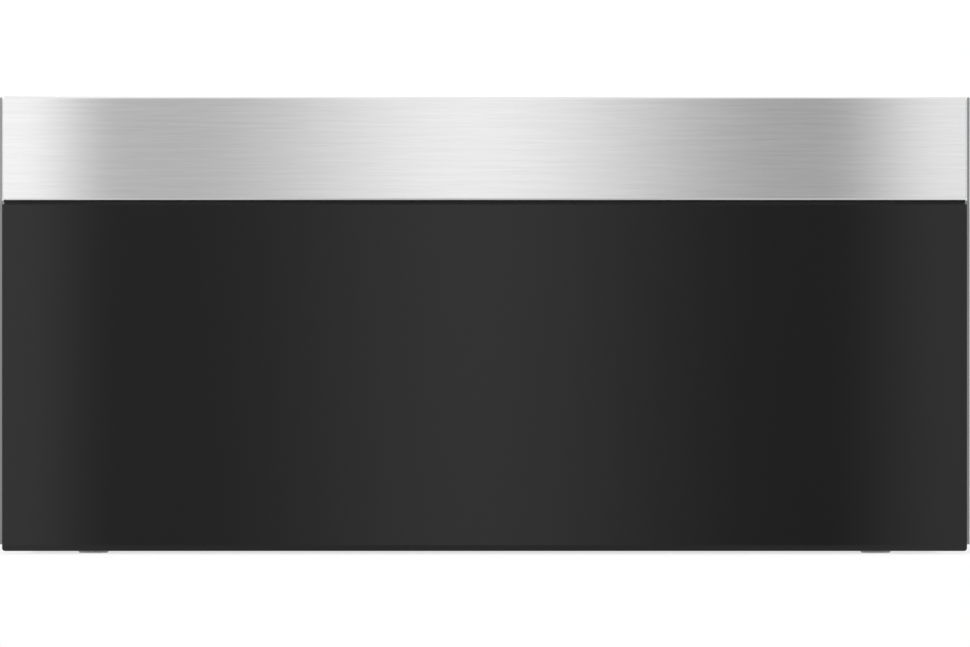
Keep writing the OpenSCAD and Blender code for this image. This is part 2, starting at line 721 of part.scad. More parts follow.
// Keyed outline of the inlet's body, grown by g
function inlet_outline(g) =
    let (w = inlet_w / 2 + g, h = inlet_h / 2 + g, c = 5)
    [[-w, -h], [w, -h], [w, h - c], [w - c, h], [-w + c, h], [-w, h - c]];
module mains_inlet() color(black) place() translate([inlet_x, 0, inlet_z]) {
    difference() {
        union() {
            along_y(back_y, inlet_flange) polygon(all_round(50, 26, 8));
            along_y(overall_d - inlet_depth, inlet_depth) polygon(inlet_outline(0));
        }
        along_y(overall_d - inlet_pocket, inlet_pocket + 1) polygon(inlet_outline(-inlet_wall));
        for (sx = [-1, 1]) rod_y([sx * 20, 0], back_y - 1, inlet_flange + 2, 1.6);
    }
    for (p = inlet_pins)
        along_y(overall_d - inlet_pocket, inlet_pin_l) translate(p) square([2, 4], center = true);
}

// ---- Runners ----

outer_path = concat(
    [[rail_steel / 2, 0], [rail_steel / 2, outer_row.y + outer_race * sin(150)]],
    arc(outer_row, outer_race, 150, 5, 10)
);
mid_path = concat(
    [[mid_web, 0], [mid_web, outer_row.y + mid_race * sin(235)]],
    arc(outer_row, mid_race, 235, 360 - row_lean, 5),
    arc(inner_row, mid_race, 180 - row_lean - 11.5, 5, 9)
);
inner_path = concat(
    [[rail_t - rail_steel / 2, 0], [rail_t - rail_steel / 2, inner_row.y + outer_race * sin(305)]],
    arc(inner_row, outer_race, 305, 215, 7)
);
// Both halves of a section: the given path runs up from the centre of the web
function section(p, t) = bent(concat(flipped(p), [for (i = [1:len(p) - 1]) p[i]]), t);

// Puts a runner section on the right of the casing: u towards the tray, v up
module runner_place(y, l) along_y(y, l) translate([rail_x, rail_z]) mirror([1, 0]) children();

module rivet_holes(x, l) for (y = rivets_y) rod_x(y, rail_z, x, l, rivet_r + rivet_gap);

module runner_hanger() color(galvanised) place() difference() {
    along_y(rail_y, rail_l) translate([inner_hw, rail_z]) mirror([1, 0]) polygon(bent([
        [rail_steel / 2, -rail_h / 2 - 10], [rail_steel / 2, -rail_h / 2],
        [hanger_t - rail_steel / 2, -rail_h / 2 + 2.5], [hanger_t - rail_steel / 2, rail_h / 2 - 2.5],
        [rail_steel / 2, rail_h / 2], [rail_steel / 2, rail_h / 2 + 10]
    ], rail_steel));
    rivet_holes(rail_x - 1, hanger_t + 2);
}
module runner_hanger_right() runner_hanger();
module runner_hanger_left() on_left() runner_hanger();

module runner_outer() color(steel) place() difference() {
    runner_place(rail_y, rail_l) polygon(section(outer_path, rail_steel));
    rivet_holes(rail_x - rail_steel - 1, rail_steel + 2);
}
module runner_outer_right() runner_outer();
module runner_outer_left() on_left() runner_outer();

module hanger_rivets() color(steel) place()
    for (s = [0, 1]) mirror([s, 0, 0]) for (y = rivets_y)
        rod_x(y, rail_z, rail_x - rail_steel, rail_steel * 2, rivet_r);

module runner_middle() color(steel) place() difference() {
    runner_place(rail_y, rail_l) polygon(section(mid_path, mid_steel));
    for (k = [0.2, 0.5, 0.8])
        along_x(rail_x - mid_web - 2, 4)
            translate([rail_y + k * rail_l, rail_z]) polygon(all_round(26, 8, 3.9));
}
module runner_middle_right() runner_middle();
module runner_middle_left() on_left() runner_middle();

module runner_inner() color(steel) place() difference() {
    runner_place(rail_y, rail_l) polygon(section(inner_path, rail_steel));
    rivet_holes(tray_hw - 1, rail_steel + 2);
}
module runner_inner_right() runner_inner();
module runner_inner_left() on_left() runner_inner();

module runner_rivets() color(steel) place()
    for (s = [0, 1]) mirror([s, 0, 0]) for (y = rivets_y)
        rod_x(y, rail_z, tray_in_hw, tray_sheet + rail_steel, rivet_r);

// Cage: a strip with an arm above and below that holds a row of balls, u0 being the strip's near face
cage_arm_t = 0.8;
cage_end = 6;
module ball_cage(row, u0) color(steel) place() {
    pitch = (cage_l - 2 * cage_end) / (ball_count - 1);
    balls = [for (i = [0:ball_count - 1], sz = [-1, 1])
        [rail_x - row.x, cage_y + cage_end + i * pitch, rail_z + sz * row.y]];
    arm_l = row.x + ball_r - 0.2 - u0;
    difference() {
        runner_place(cage_y, cage_l) union() {
            translate([u0, -row.y - cage_arm_t / 2]) square([cage_t, 2 * row.y + cage_arm_t]);
            for (sz = [-1, 1]) translate([u0, sz * row.y - cage_arm_t / 2]) square([arm_l, cage_arm_t]);
        }
        for (b = balls) translate(b - [0, 0, 1]) cylinder(h = 2, r = ball_r + 0.05);
    }
    for (b = balls) translate(b) sphere(ball_r);
}
module ball_cage_outer_right() ball_cage(outer_row, rail_steel + cage_gap);
module ball_cage_outer_left() on_left() ball_cage(outer_row, rail_steel + cage_gap);
module ball_cage_inner_right() ball_cage(inner_row, mid_web + mid_steel / 2 + cage_gap);
module ball_cage_inner_left() on_left() ball_cage(inner_row, mid_web + mid_steel / 2 + cage_gap);

// ---- Catch ----

plunger_gap = 0.08;
catch_top = tray_z - 3;
catch_ear_w = 10;
catch_ears = [catch_y + 19, catch_y + catch_l - 19];
module catch_housing() color(black) place() difference() {
    union() {
        along_y(catch_y, catch_l) translate([catch_x, (floor_top + catch_top) / 2])
            polygon(round_rect(2 * catch_hw, catch_top - floor_top, [0.5, 0.5, 3, 3]));
        for (y = catch_ears)
            box([catch_x - catch_hw - catch_ear_w, y - 7, floor_top],
                [catch_x + catch_hw + catch_ear_w, y + 7, floor_top + 2.5]);
    }
    rod_y([catch_x, catch_z], catch_y - 1, catch_l - 20, plunger_r + plunger_gap);
    for (sx = [-1, 1], y = catch_ears)
        translate([catch_x + sx * (catch_hw + catch_ear_w / 2), y, floor_top - 1]) cylinder(h = 5, r = 1.6);
}

module catch_plunger() color([0.25, 0.25, 0.27]) place() {
    translate([catch_x, catch_y - plunger_tip, catch_z]) rotate([-90, 0, 0]) rotate_extrude() polygon([
        [0, 0], [4, 0], [5, 1], [5, plunger_tip - 0.4], [plunger_r, plunger_tip - 0.4],
        [plunger_r, catch_l - 30], [0, catch_l - 30]
    ]);
}

module catch_striker() color(steel) place()
    along_x(catch_x - 14, 28) polygon(bent([
        [striker_y + striker_t / 2, striker_foot],
        [striker_y + striker_t / 2, tray_z - striker_t / 2],
        [striker_y - 22, tray_z - striker_t / 2]
    ], striker_t));

// ---- Tray ----

hem_drop = 7;
half_tray = concat(
    [[tray_hw - tray_sheet / 2 + tray_hem - tray_sheet, tray_top - hem_drop],
     [tray_hw - tray_sheet / 2 + tray_hem - tray_sheet, tray_top - tray_sheet / 2],
     [tray_hw - tray_sheet / 2, tray_top - tray_sheet / 2]],
    arc([tray_hw - tray_sheet / 2 - tray_bend, tray_z + tray_sheet / 2 + tray_bend], tray_bend, 0, -90, 6)
);
// Floor and sides, folded from one sheet, with the side edges rolled outwards
module tray_shell() color(steel) place() difference() {
    along_y(tray_y, tray_back - tray_y)
        polygon(bent(concat(half_tray, swapped(half_tray)), tray_sheet));
    for (s = [0, 1]) mirror([s, 0, 0]) rivet_holes(tray_in_hw - 1, tray_sheet + 2);
}

// Plate that fits between the tray's sides, with its foot corners cut to the tray's bends
module tray_end(y, lip_y, lip_l) {
    c = tray_bend + 1;
    along_y(y, tray_sheet) polygon([
        [-tray_in_hw + c, tray_floor], [tray_in_hw - c, tray_floor], [tray_in_hw, tray_floor + c],
        [tray_in_hw, tray_top], [-tray_in_hw, tray_top], [-tray_in_hw, tray_floor + c]
    ]);
    box([-tray_in_hw, lip_y, tray_top - tray_sheet], [tray_in_hw, lip_y + lip_l, tray_top]);
}

module tray_front_wall() color(steel) place() difference() {
    tray_end(tray_y, front_t + 1, bracket_d - 1 + tray_sheet);
    for (b = front_bolts) rod_y(b, tray_y - 1, tray_sheet + 2, front_screw_hole);
}

module tray_back_wall() color(steel) place() difference() {
    tray_end(tray_in_back, tray_in_back, tray_hem);
    air_slots(tray_in_back - 1, tray_sheet + 2);
}

mat_gap = 6;
mat_r = 10;
module non_slip_mat() color([0.15, 0.15, 0.16]) place()
    translate([0, (tray_in_y + tray_in_back) / 2, tray_floor]) linear_extrude(mat_t) polygon(all_round(
        2 * (tray_in_hw - tray_bend) - mat_gap, tray_in_back - tray_in_y - 2 * mat_gap, mat_r
    ));

// Half rack: thin wires welded on a frame of thicker wire, on two looped legs
rack_frame = rack_wire + 1;
rack_x = -tray_in_hw + tray_bend + 8;
rack_y0 = tray_in_y + 22;
rack_y1 = tray_in_back - 22;
rack_top = mat_top + rack_h;
frame_z = rack_top - rack_wire - rack_frame / 2 + 0.8;
leg_inset = 30;
leg_rows = [rack_y0 + leg_inset, rack_y1 - leg_inset];
module rack_grid() color(steel) place() {
    step = (rack_w - rack_frame) / (rack_wires - 1);
    for (i = [0:rack_wires - 1])
        rod_y([rack_x + rack_frame / 2 + i * step, rack_top - rack_wire / 2],
            rack_y0, rack_y1 - rack_y0, rack_wire / 2);
    for (y = concat([rack_y0 + rack_frame, rack_y1 - rack_frame], leg_rows))
        rod_x(y, frame_z, rack_x, rack_w, rack_frame / 2);
}

leg_r = 12;
weld_gap = 0.2;
leg_top = frame_z - rack_frame / 2 - weld_gap;
module rack_legs() color(steel) place()
    for (y = leg_rows) {
        lo = [rack_x + 14, mat_top + rack_frame / 2];
        hi = [rack_x + rack_w - 14, leg_top];
        for (x = [lo.x, hi.x])
            translate([x, y, lo.y + leg_r]) cylinder(h = hi.y - lo.y - leg_r, r = rack_frame / 2);
        rod_x(y, lo.y, lo.x + leg_r, hi.x - lo.x - 2 * leg_r, rack_frame / 2);
        for (s = [0, 1]) translate([s == 0 ? lo.x + leg_r : hi.x - leg_r, y, lo.y + leg_r])
            rotate([90, 0, 0]) rotate([0, 0, s == 0 ? 180 : 270])
                rotate_extrude(angle = 90) translate([leg_r, 0]) circle(rack_frame / 2);
    }

// ---- Front panel ----

rail_foot = glass_top - 10;
rail_head = band_z + 14;
// Pan behind the glass and the band: a back, four walls and a rail behind the shadow gap
module front_carrier() color(black) place() difference() {
    box([-carrier_hw, carrier_y, carrier_z], [carrier_hw, front_t, carrier_top]);
    box([-carrier_hw + carrier_sheet, carrier_y - 1, carrier_z + carrier_sheet],
        [carrier_hw - carrier_sheet, front_t - carrier_sheet, rail_foot]);
    box([-carrier_hw + carrier_sheet, carrier_y - 1, rail_head],
        [carrier_hw - carrier_sheet, front_t - carrier_sheet, carrier_top - carrier_sheet]);
    box([-carrier_hw + carrier_sheet, carrier_y + carrier_sheet, rail_foot - 1],
        [carrier_hw - carrier_sheet, front_t - carrier_sheet, rail_head + 1]);
    for (b = front_bolts) rod_y(b, front_t - carrier_sheet - 1, carrier_sheet + 2, front_screw_hole);
}

fill_gap = 0.3;
// Fibre mats that fill the pan below and above its rail, holed for the screws' ends
module front_insulation() color([0.85, 0.84, 0.78]) place() difference() {
    edge = carrier_sheet + fill_gap;
    union() {
        box([-carrier_hw + edge, carrier_y + 1, carrier_z + edge],
            [carrier_hw - edge, front_t - edge, rail_foot - fill_gap]);
        box([-carrier_hw + edge, carrier_y + 1, rail_head + fill_gap],
            [carrier_hw - edge, front_t - edge, carrier_top - edge]);
    }
    for (b = front_bolts) rod_y(b, front_t - 8, 8, front_screw_hole + 1);
}

module front_glass() color(dark_glass) place()
    along_y(0, glass_t) translate([0, (front_lift + glass_top) / 2])
        polygon(round_rect(front_w, glass_top - front_lift, [glass_r, glass_r, 0.4, 0.4]));

bond_w = 12;
// Tape round the back of the glass, on the carrier's walls and rail
module glass_bond() color(black) place() difference() {
    box([-carrier_hw, glass_t, carrier_z], [carrier_hw, carrier_y, glass_top]);
    box([-carrier_hw + bond_w, glass_t - 1, carrier_z + bond_w],
        [carrier_hw - bond_w, carrier_y + 1, glass_top - bond_w]);
}

band_in = band_sheet / 2;
band_lip = 14;
// Band folded round the top of the front, with an end plate at each side
module front_band() color(steel) place() {
    along_x(-front_w / 2 + band_sheet, front_w - 2 * band_sheet) polygon(bent(concat(
        [[carrier_y - 0.4, band_z + band_in]],
        arc([band_in + band_bend, band_z + band_in + band_bend], band_bend, 270, 180, 5),
        arc([band_in + band_bend, front_top - band_in - band_bend], band_bend, 180, 90, 5),
        [[front_t - band_in, front_top - band_in]]
    ), band_sheet));
    for (s = [0, 1]) mirror([s, 0, 0])
        along_x(front_w / 2 - band_sheet, band_sheet) polygon(concat(
            [[front_t, band_z + 0.4], [front_t, front_top]],
            arc([band_in + band_bend, front_top - band_in - band_bend], band_bend + band_in, 90, 180, 5),
            arc([band_in + band_bend, band_z + band_in + band_bend], band_bend + band_in, 180, 270, 5),
            [[carrier_y, band_z + 0.4]]
        ));
}

// Blocks between the carrier and the tray, one at each pair of screws
module front_brackets() color(galvanised) place() difference() {
    for (x = bracket_x) along_y(front_t, bracket_d)
        translate([x, (bolt_low + bolt_high) / 2])
            polygon(all_round(bracket_w, bolt_high - bolt_low + 2 * bolt_edge, 4));
    for (b = front_bolts) rod_y(b, front_t - 1, bracket_d + 2, front_screw_hole);
}

module front_screws() color(steel) place()
    for (b = front_bolts) translate([b.x, tray_in_y, b.y]) rotate([90, 0, 0]) rotate_extrude() polygon([
        [0, -2.2], [2.6, -2.2], [4, -1.2], [4, 0], [front_screw_r, 0],
        [front_screw_r, tray_in_y - front_t + 3], [0, tray_in_y - front_t + 4]
    ]);

seal_w = 6;
seal_t = 0.8;
// Flat lip seal on the back of the front, facing the trim, the fascia and the bottom rail
module drawer_seal() color(black) place() along_y(front_t, seal_t) difference() {
    translate([0, (carrier_z + carrier_top) / 2])
        polygon(all_round(2 * (carrier_hw - 4), carrier_top - carrier_z - 3, 8));
    translate([0, (carrier_z + carrier_top) / 2])
        polygon(all_round(2 * (carrier_hw - 4 - seal_w), carrier_top - carrier_z - 3 - 2 * seal_w, 4));
}

casing_floor();
casing_side_left();
casing_side_right();
casing_top();
casing_back();
trim_flange_left();
trim_flange_right();
front_rail_bottom();
control_fascia();
control_glass();
control_board();
cavity_cover();
insulation_blanket();
fan_baffle();
fan_chamber();
ring_heater();
fan_motor();
temperature_sensor();
thermal_cutout();
power_board();
mains_inlet();
runner_hanger_left();
runner_hanger_right();
runner_outer_left();
runner_outer_right();
hanger_rivets();
catch_housing();
feet();
casing_screws();
fan_wheel();
fan_shaft();
catch_plunger();
runner_middle_left();
runner_middle_right();
ball_cage_outer_left();
ball_cage_outer_right();
ball_cage_inner_left();
ball_cage_inner_right();
runner_inner_left();
runner_inner_right();
runner_rivets();
tray_shell();
tray_front_wall();
tray_back_wall();
front_carrier();
front_insulation();
front_glass();
glass_bond();
front_band();
front_brackets();
front_screws();
drawer_seal();
non_slip_mat();
catch_striker();
rack_grid();
rack_legs();
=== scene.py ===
"""Looks of the built-in warming drawer.

Finishes come first, then the front panel, mat, touch strip and screws, then studio and camera.
"""

import json
import math

import bpy
import bmesh
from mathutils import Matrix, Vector


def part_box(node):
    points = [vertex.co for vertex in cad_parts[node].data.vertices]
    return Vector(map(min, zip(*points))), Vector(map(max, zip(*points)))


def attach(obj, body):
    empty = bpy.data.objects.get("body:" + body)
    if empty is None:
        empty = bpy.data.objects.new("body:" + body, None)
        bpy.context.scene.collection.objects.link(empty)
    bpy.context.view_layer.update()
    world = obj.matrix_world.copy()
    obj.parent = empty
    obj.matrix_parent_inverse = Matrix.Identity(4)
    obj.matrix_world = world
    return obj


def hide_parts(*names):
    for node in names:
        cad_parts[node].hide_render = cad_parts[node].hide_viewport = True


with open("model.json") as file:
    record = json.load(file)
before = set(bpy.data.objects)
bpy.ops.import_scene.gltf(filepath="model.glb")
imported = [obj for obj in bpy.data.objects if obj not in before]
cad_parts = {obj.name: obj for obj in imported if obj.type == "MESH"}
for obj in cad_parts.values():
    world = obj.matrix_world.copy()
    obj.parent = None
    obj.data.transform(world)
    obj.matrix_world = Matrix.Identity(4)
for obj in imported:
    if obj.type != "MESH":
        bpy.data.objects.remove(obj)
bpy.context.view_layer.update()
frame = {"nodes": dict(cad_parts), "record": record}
record = frame["record"]
nodes = frame["nodes"]
MM = 0.001
# Points closer than this are at one place
SAME_PLACE = 1e-6


# ---------------------------------------------------------------- shader building

FLOAT = "NodeSocketFloat"
VECTOR = "NodeSocketVector"


def new_group(name, inputs, outputs):
    """A shader node group with named sockets; returns the group and its input and output nodes."""
    group = bpy.data.node_groups.new(name, "ShaderNodeTree")
    for label, kind, value in inputs:
        socket = group.interface.new_socket(name=label, in_out="INPUT", socket_type=kind)
        socket.default_value = value
    for label, kind in outputs:
        group.interface.new_socket(name=label, in_out="OUTPUT", socket_type=kind)
    return group, group.nodes.new("NodeGroupInput"), group.nodes.new("NodeGroupOutput")


def feed(tree, socket, value):
    """Links a socket to another one, or sets it to a plain value."""
    if isinstance(value, bpy.types.NodeSocket):
        tree.links.new(value, socket)
    else:
        socket.default_value = value


def math_node(tree, operation, a, b=None, clamp=False):
    """A Math node fed by sockets or numbers; returns its output."""
    n = tree.nodes.new("ShaderNodeMath")
    n.operation = operation
    n.use_clamp = clamp
    feed(tree, n.inputs[0], a)
    if b is not None:
        feed(tree, n.inputs[1], b)
    return n.outputs[0]


def vector_math(tree, operation, a, b=None):
    """A Vector Math node fed by sockets or plain values; returns the node."""
    n = tree.nodes.new("ShaderNodeVectorMath")
    n.operation = operation
    feed(tree, n.inputs[0], a)
    if b is not None:
        feed(tree, n.inputs[1], b)
    return n


def map_range(tree, value, low, high, to_low, to_high, kind="LINEAR"):
    n = tree.nodes.new("ShaderNodeMapRange")
    n.interpolation_type = kind
    tree.links.new(value, n.inputs["Value"])
    n.inputs["From Min"].default_value = low
    n.inputs["From Max"].default_value = high
    n.inputs["To Min"].default_value = to_low
    n.inputs["To Max"].default_value = to_high
    return n.outputs["Result"]


def noise(tree, vector, scale, detail=2.0, rough=0.5):
    n = tree.nodes.new("ShaderNodeTexNoise")
    n.inputs["Scale"].default_value = scale
    n.inputs["Detail"].default_value = detail
    n.inputs["Roughness"].default_value = rough
    tree.links.new(vector, n.inputs["Vector"])
    return n.outputs["Fac"]


def normal_of(tree):
    """The surface's own normal."""
    return tree.nodes.new("ShaderNodeNewGeometry").outputs["Normal"]


def build_grain_group():
    """Fine straight scratches of a brushed sheet, drawn out along one axis by Stretch."""
    g, inp, out = new_group(
        "brushed_grain",
        [("Vector", VECTOR, (0, 0, 0)), ("Stretch", VECTOR, (8, 900, 900))],
        [("Tint", FLOAT), ("Height", FLOAT)],
    )
    drawn = vector_math(g, "MULTIPLY", inp.outputs["Vector"], inp.outputs["Stretch"]).outputs[0]
    fine = noise(g, drawn, 1.0, 3.0, 0.6)
    broad = noise(g, drawn, 0.36, 2.0, 0.6)
    tint = math_node(
        g, "ADD", math_node(g, "MULTIPLY", fine, 0.45), math_node(g, "MULTIPLY", broad, 0.55)
    )
    g.links.new(tint, out.inputs["Tint"])
    g.links.new(fine, out.inputs["Height"])
    return g


def build_edge_wear_and_highlight_group():
    """Mask of the outer edges of a piece, broken up by noise, for wear on the edges and for a
    painted highlight along them.
    """
    g, inp, out = new_group(
        "edge_wear_and_highlight",
        [("Vector", VECTOR, (0, 0, 0)), ("Radius", FLOAT, 0.8 * MM), ("Amount", FLOAT, 1.0)],
        [("Mask", FLOAT)],
    )
    bevel = g.nodes.new("ShaderNodeBevel")
    bevel.samples = 4
    g.links.new(inp.outputs["Radius"], bevel.inputs["Radius"])
    turned = vector_math(g, "DOT_PRODUCT", bevel.outputs["Normal"], normal_of(g))
    edge = map_range(g, turned.outputs["Value"], 0.999, 0.86, 0.0, 1.0)
    breakup = map_range(g, noise(g, inp.outputs["Vector"], 190.0, 4.0, 0.6), 0.38, 0.62, 0.25, 1.0)
    wear_and_highlight = math_node(g, "MULTIPLY", edge, breakup)
    wear_and_highlight = math_node(g, "MULTIPLY", wear_and_highlight, inp.outputs["Amount"], clamp=True)
    g.links.new(wear_and_highlight, out.inputs["Mask"])
    return g


def build_dust_group():
    """Faint dust that lies on faces that look up."""
    g, inp, out = new_group(
        "settled_dust",
        [("Vector", VECTOR, (0, 0, 0)), ("Amount", FLOAT, 0.1)],
        [("Mask", FLOAT)],
    )
    split = g.nodes.new("ShaderNodeSeparateXYZ")
    g.links.new(normal_of(g), split.inputs[0])
    up = map_range(g, split.outputs["Z"], 0.3, 1.0, 0.0, 1.0)
    patches = map_range(g, noise(g, inp.outputs["Vector"], 14.0, 6.0, 0.62), 0.35, 0.72, 0.0, 1.0)
    mask = math_node(g, "MULTIPLY", up, patches)
    mask = math_node(g, "MULTIPLY", mask, inp.outputs["Amount"], clamp=True)
    g.links.new(mask, out.inputs["Mask"])
    return g


def build_spangle_group():
    """Crystal flakes of a zinc coat: a flat tone for each flake, and a fine cloud over them."""
    g, inp, out = new_group(
        "zinc_spangle",
        [("Vector", VECTOR, (0, 0, 0)), ("Scale", FLOAT, 90.0)],
        [("Tone", FLOAT), ("Cloud", FLOAT)],
    )
    warp = g.nodes.new("ShaderNodeTexNoise")
    warp.inputs["Scale"].default_value = 60.0
    g.links.new(inp.outputs["Vector"], warp.inputs["Vector"])
    shift = vector_math(g, "SCALE", warp.outputs["Color"])
    shift.inputs["Scale"].default_value = 12 * MM
    warped = vector_math(g, "ADD", inp.outputs["Vector"], shift.outputs[0])
    cells = g.nodes.new("ShaderNodeTexVoronoi")
    g.links.new(warped.outputs[0], cells.inputs["Vector"])
    g.links.new(inp.outputs["Scale"], cells.inputs["Scale"])
    split = g.nodes.new("ShaderNodeSeparateColor")
    g.links.new(cells.outputs["Color"], split.inputs[0])
    g.links.new(split.outputs[0], out.inputs["Tone"])
    g.links.new(noise(g, inp.outputs["Vector"], 26.0, 5.0, 0.6), out.inputs["Cloud"])
    return g


def build_pebble_group():
    """Small soft pebbling of moulded plastic, rubber or powder coat."""
    g, inp, out = new_group(
        "pebble",
        [("Vector", VECTOR, (0, 0, 0)), ("Scale", FLOAT, 1400.0)],
        [("Height", FLOAT), ("Tone", FLOAT)],
    )
    n = g.nodes.new("ShaderNodeTexNoise")
    n.inputs["Detail"].default_value = 2.0
    g.links.new(inp.outputs["Vector"], n.inputs["Vector"])
    g.links.new(inp.outputs["Scale"], n.inputs["Scale"])
    g.links.new(n.outputs["Fac"], out.inputs["Height"])
    g.links.new(noise(g, inp.outputs["Vector"], 22.0, 4.0, 0.6), out.inputs["Tone"])
    return g


GRAIN = build_grain_group()
EDGES = build_edge_wear_and_highlight_group()
DUST = build_dust_group()
SPANGLE = build_spangle_group()
PEBBLE = build_pebble_group()


class Finish:
    """A material in the making: its tree, its Principled shader and the piece's own place."""

    def __init__(self, name, metallic=0.0, **constants):
        self.material = bpy.data.materials.new(name)
        self.material.use_nodes = True
        self.tree = self.material.node_tree
        self.shader = self.tree.nodes["Principled BSDF"]
        self.shader.inputs["Metallic"].default_value = metallic
        for key, value in constants.items():
            self.shader.inputs[key.replace("_", " ")].default_value = value
        self.place = self.tree.nodes.new("ShaderNodeTexCoord").outputs["Object"]

    def group(self, tree, **inputs):
        n = self.tree.nodes.new("ShaderNodeGroup")
        n.node_tree = tree
        self.tree.links.new(self.place, n.inputs["Vector"])
        for key, value in inputs.items():
            n.inputs[key].default_value = value
        return n

    def mix(self, mask, low, high):
        """Colour between low and high by a mask; each may be a colour or a socket."""
        n = self.tree.nodes.new("ShaderNodeMix")
        n.data_type = "RGBA"
        self.tree.links.new(mask, n.inputs["Factor"])
        for key, value in (("A", low), ("B", high)):
            feed(self.tree, n.inputs[key], (*value, 1.0) if isinstance(value, tuple) else value)
        return n.outputs["Result"]

    def colour(self, socket):
        self.tree.links.new(socket, self.shader.inputs["Base Color"])

    def rough(self, socket):
        self.tree.links.new(socket, self.shader.inputs["Roughness"])

    def range(self, value, low, high, to_low, to_high):
        return map_range(self.tree, value, low, high, to_low, to_high)

    def bump(self, height, distance, strength=1.0):
        n = self.tree.nodes.new("ShaderNodeBump")
        n.inputs["Distance"].default_value = distance
        n.inputs["Strength"].default_value = strength
        self.tree.links.new(height, n.inputs["Height"])
        self.tree.links.new(n.outputs["Normal"], self.shader.inputs["Normal"])


def grey(v, cool=0.0):
    """A neutral tone, turned a little to blue by cool."""
    return (v * (1 - cool), v, v * (1 + cool))


def brushed_steel(name, tone, stretch, rough, anisotropy, contrast):
    """Brushed stainless steel, its grain running along the axis with the smallest stretch."""
    f = Finish(name, metallic=1.0, Anisotropic=anisotropy)
    grain = f.group(GRAIN, Stretch=stretch)
    edge = f.group(EDGES, Radius=0.6 * MM, Amount=0.5)
    tint = grain.outputs["Tint"]
    base = f.mix(
        f.range(tint, 0.3, 0.7, 0.0, 1.0), grey(tone * (1 - contrast)), grey(tone * (1 + contrast))
    )
    # Lighter edges: a painted highlight along them, with a little wear.
    f.colour(f.mix(edge.outputs["Mask"], base, grey(min(1.0, tone * 1.08))))
    f.rough(f.range(tint, 0.3, 0.7, rough * 0.88, rough * 1.12))
    f.bump(grain.outputs["Height"], 0.01 * MM)
    # Light spreads across the grain: the tangent lies in the surface, square to the scratches
    along = [0.001, 0.002, 0.003]
    along[stretch.index(min(stretch))] = 1.0
    across = vector_math(f.tree, "CROSS_PRODUCT", normal_of(f.tree), along)
    f.tree.links.new(across.outputs[0], f.shader.inputs["Tangent"])
    return f.material


def galvanised_steel(name, tone, rough=0.5):
    """Zinc-coated sheet, dulled by its oxide, so that it takes light as well as reflections."""
    f = Finish(name, metallic=0.5)
    flakes = f.group(SPANGLE, Scale=95.0)
    edge = f.group(EDGES, Radius=0.5 * MM, Amount=0.6)
    dust = f.group(DUST, Amount=0.16)
    tone_of, cloud = flakes.outputs["Tone"], flakes.outputs["Cloud"]
    base = f.mix(tone_of, grey(tone * 0.86, 0.012), grey(tone * 1.1, 0.016))
    clouded = f.mix(f.range(cloud, 0.4, 0.75, 0.0, 0.35), base, grey(tone * 0.84, 0.01))
    # Lighter edges: a painted highlight along them, and zinc rubbed bright.
    edge_highlight_and_wear = f.mix(edge.outputs["Mask"], clouded, grey(min(1.0, tone * 1.22)))
    f.colour(f.mix(dust.outputs["Mask"], edge_highlight_and_wear, (0.5, 0.49, 0.47)))
    f.rough(f.range(tone_of, 0.0, 1.0, rough * 0.85, rough * 1.2))
    f.bump(cloud, 0.04 * MM, 0.5)
    return f.material


def zinc_plate(name, tone, rough, stretch=(900, 12, 900)):
    """Drawn or stamped bright steel, with a faint drawing grain, along Y unless told otherwise."""
    f = Finish(name, metallic=1.0)
    grain = f.group(GRAIN, Stretch=stretch)
    edge = f.group(EDGES, Radius=0.4 * MM, Amount=0.7)
    tint = grain.outputs["Tint"]
    base = f.mix(
        f.range(tint, 0.3, 0.7, 0.0, 1.0), grey(tone * 0.93, 0.01), grey(tone * 1.05, 0.018)
    )
    # Lighter edges: a painted highlight along them, with a little wear.
    f.colour(f.mix(edge.outputs["Mask"], base, grey(min(1.0, tone * 1.25))))
    f.rough(f.range(tint, 0.3, 0.7, rough * 0.85, rough * 1.15))
    f.bump(grain.outputs["Height"], 0.012 * MM)
    return f.material


def mirror_glass(name, tone, rough):
    """Back-painted glass: a dark body under a polished face, with the faintest wipe marks."""
    f = Finish(name, IOR=1.45)
    wipe = f.group(PEBBLE, Scale=9.0)
    streaks = f.range(wipe.outputs["Tone"], 0.3, 0.7, 0.0, 1.0)
    f.colour(f.mix(streaks, grey(tone * 0.96), grey(tone * 1.04)))
    f.rough(f.range(wipe.outputs["Height"], 0.35, 0.7, rough * 0.8, rough * 1.3))
    return f.material


def powder_coat(name, tone, rough=0.55):
    f = Finish(name)
    pebble = f.group(PEBBLE, Scale=1900.0)
    edge = f.group(EDGES, Radius=0.6 * MM, Amount=0.25)
    base = f.mix(pebble.outputs["Tone"], grey(tone * 0.85), grey(tone * 1.15))
    # Lighter edges: coat rubbed thin, and a painted highlight along them.
    f.colour(f.mix(edge.outputs["Mask"], base, grey(tone * 3.0)))
    f.rough(f.range(pebble.outputs["Height"], 0.3, 0.7, rough * 0.9, rough * 1.1))
    f.bump(pebble.outputs["Height"], 0.04 * MM, 0.6)
    return f.material


def moulded_plastic(name, tone, rough=0.42):
    f = Finish(name)
    pebble = f.group(PEBBLE, Scale=1500.0)
    edge = f.group(EDGES, Radius=0.4 * MM, Amount=0.35)
    base = f.mix(pebble.outputs["Tone"], grey(tone * 0.9), grey(tone * 1.12))
    # Lighter edges: plastic rubbed pale, and a painted highlight along them.
    f.colour(f.mix(edge.outputs["Mask"], base, grey(tone * 2.2)))
    f.rough(f.range(pebble.outputs["Height"], 0.3, 0.7, rough * 0.85, rough * 1.15))
    f.bump(pebble.outputs["Height"], 0.03 * MM, 0.7)
    return f.material


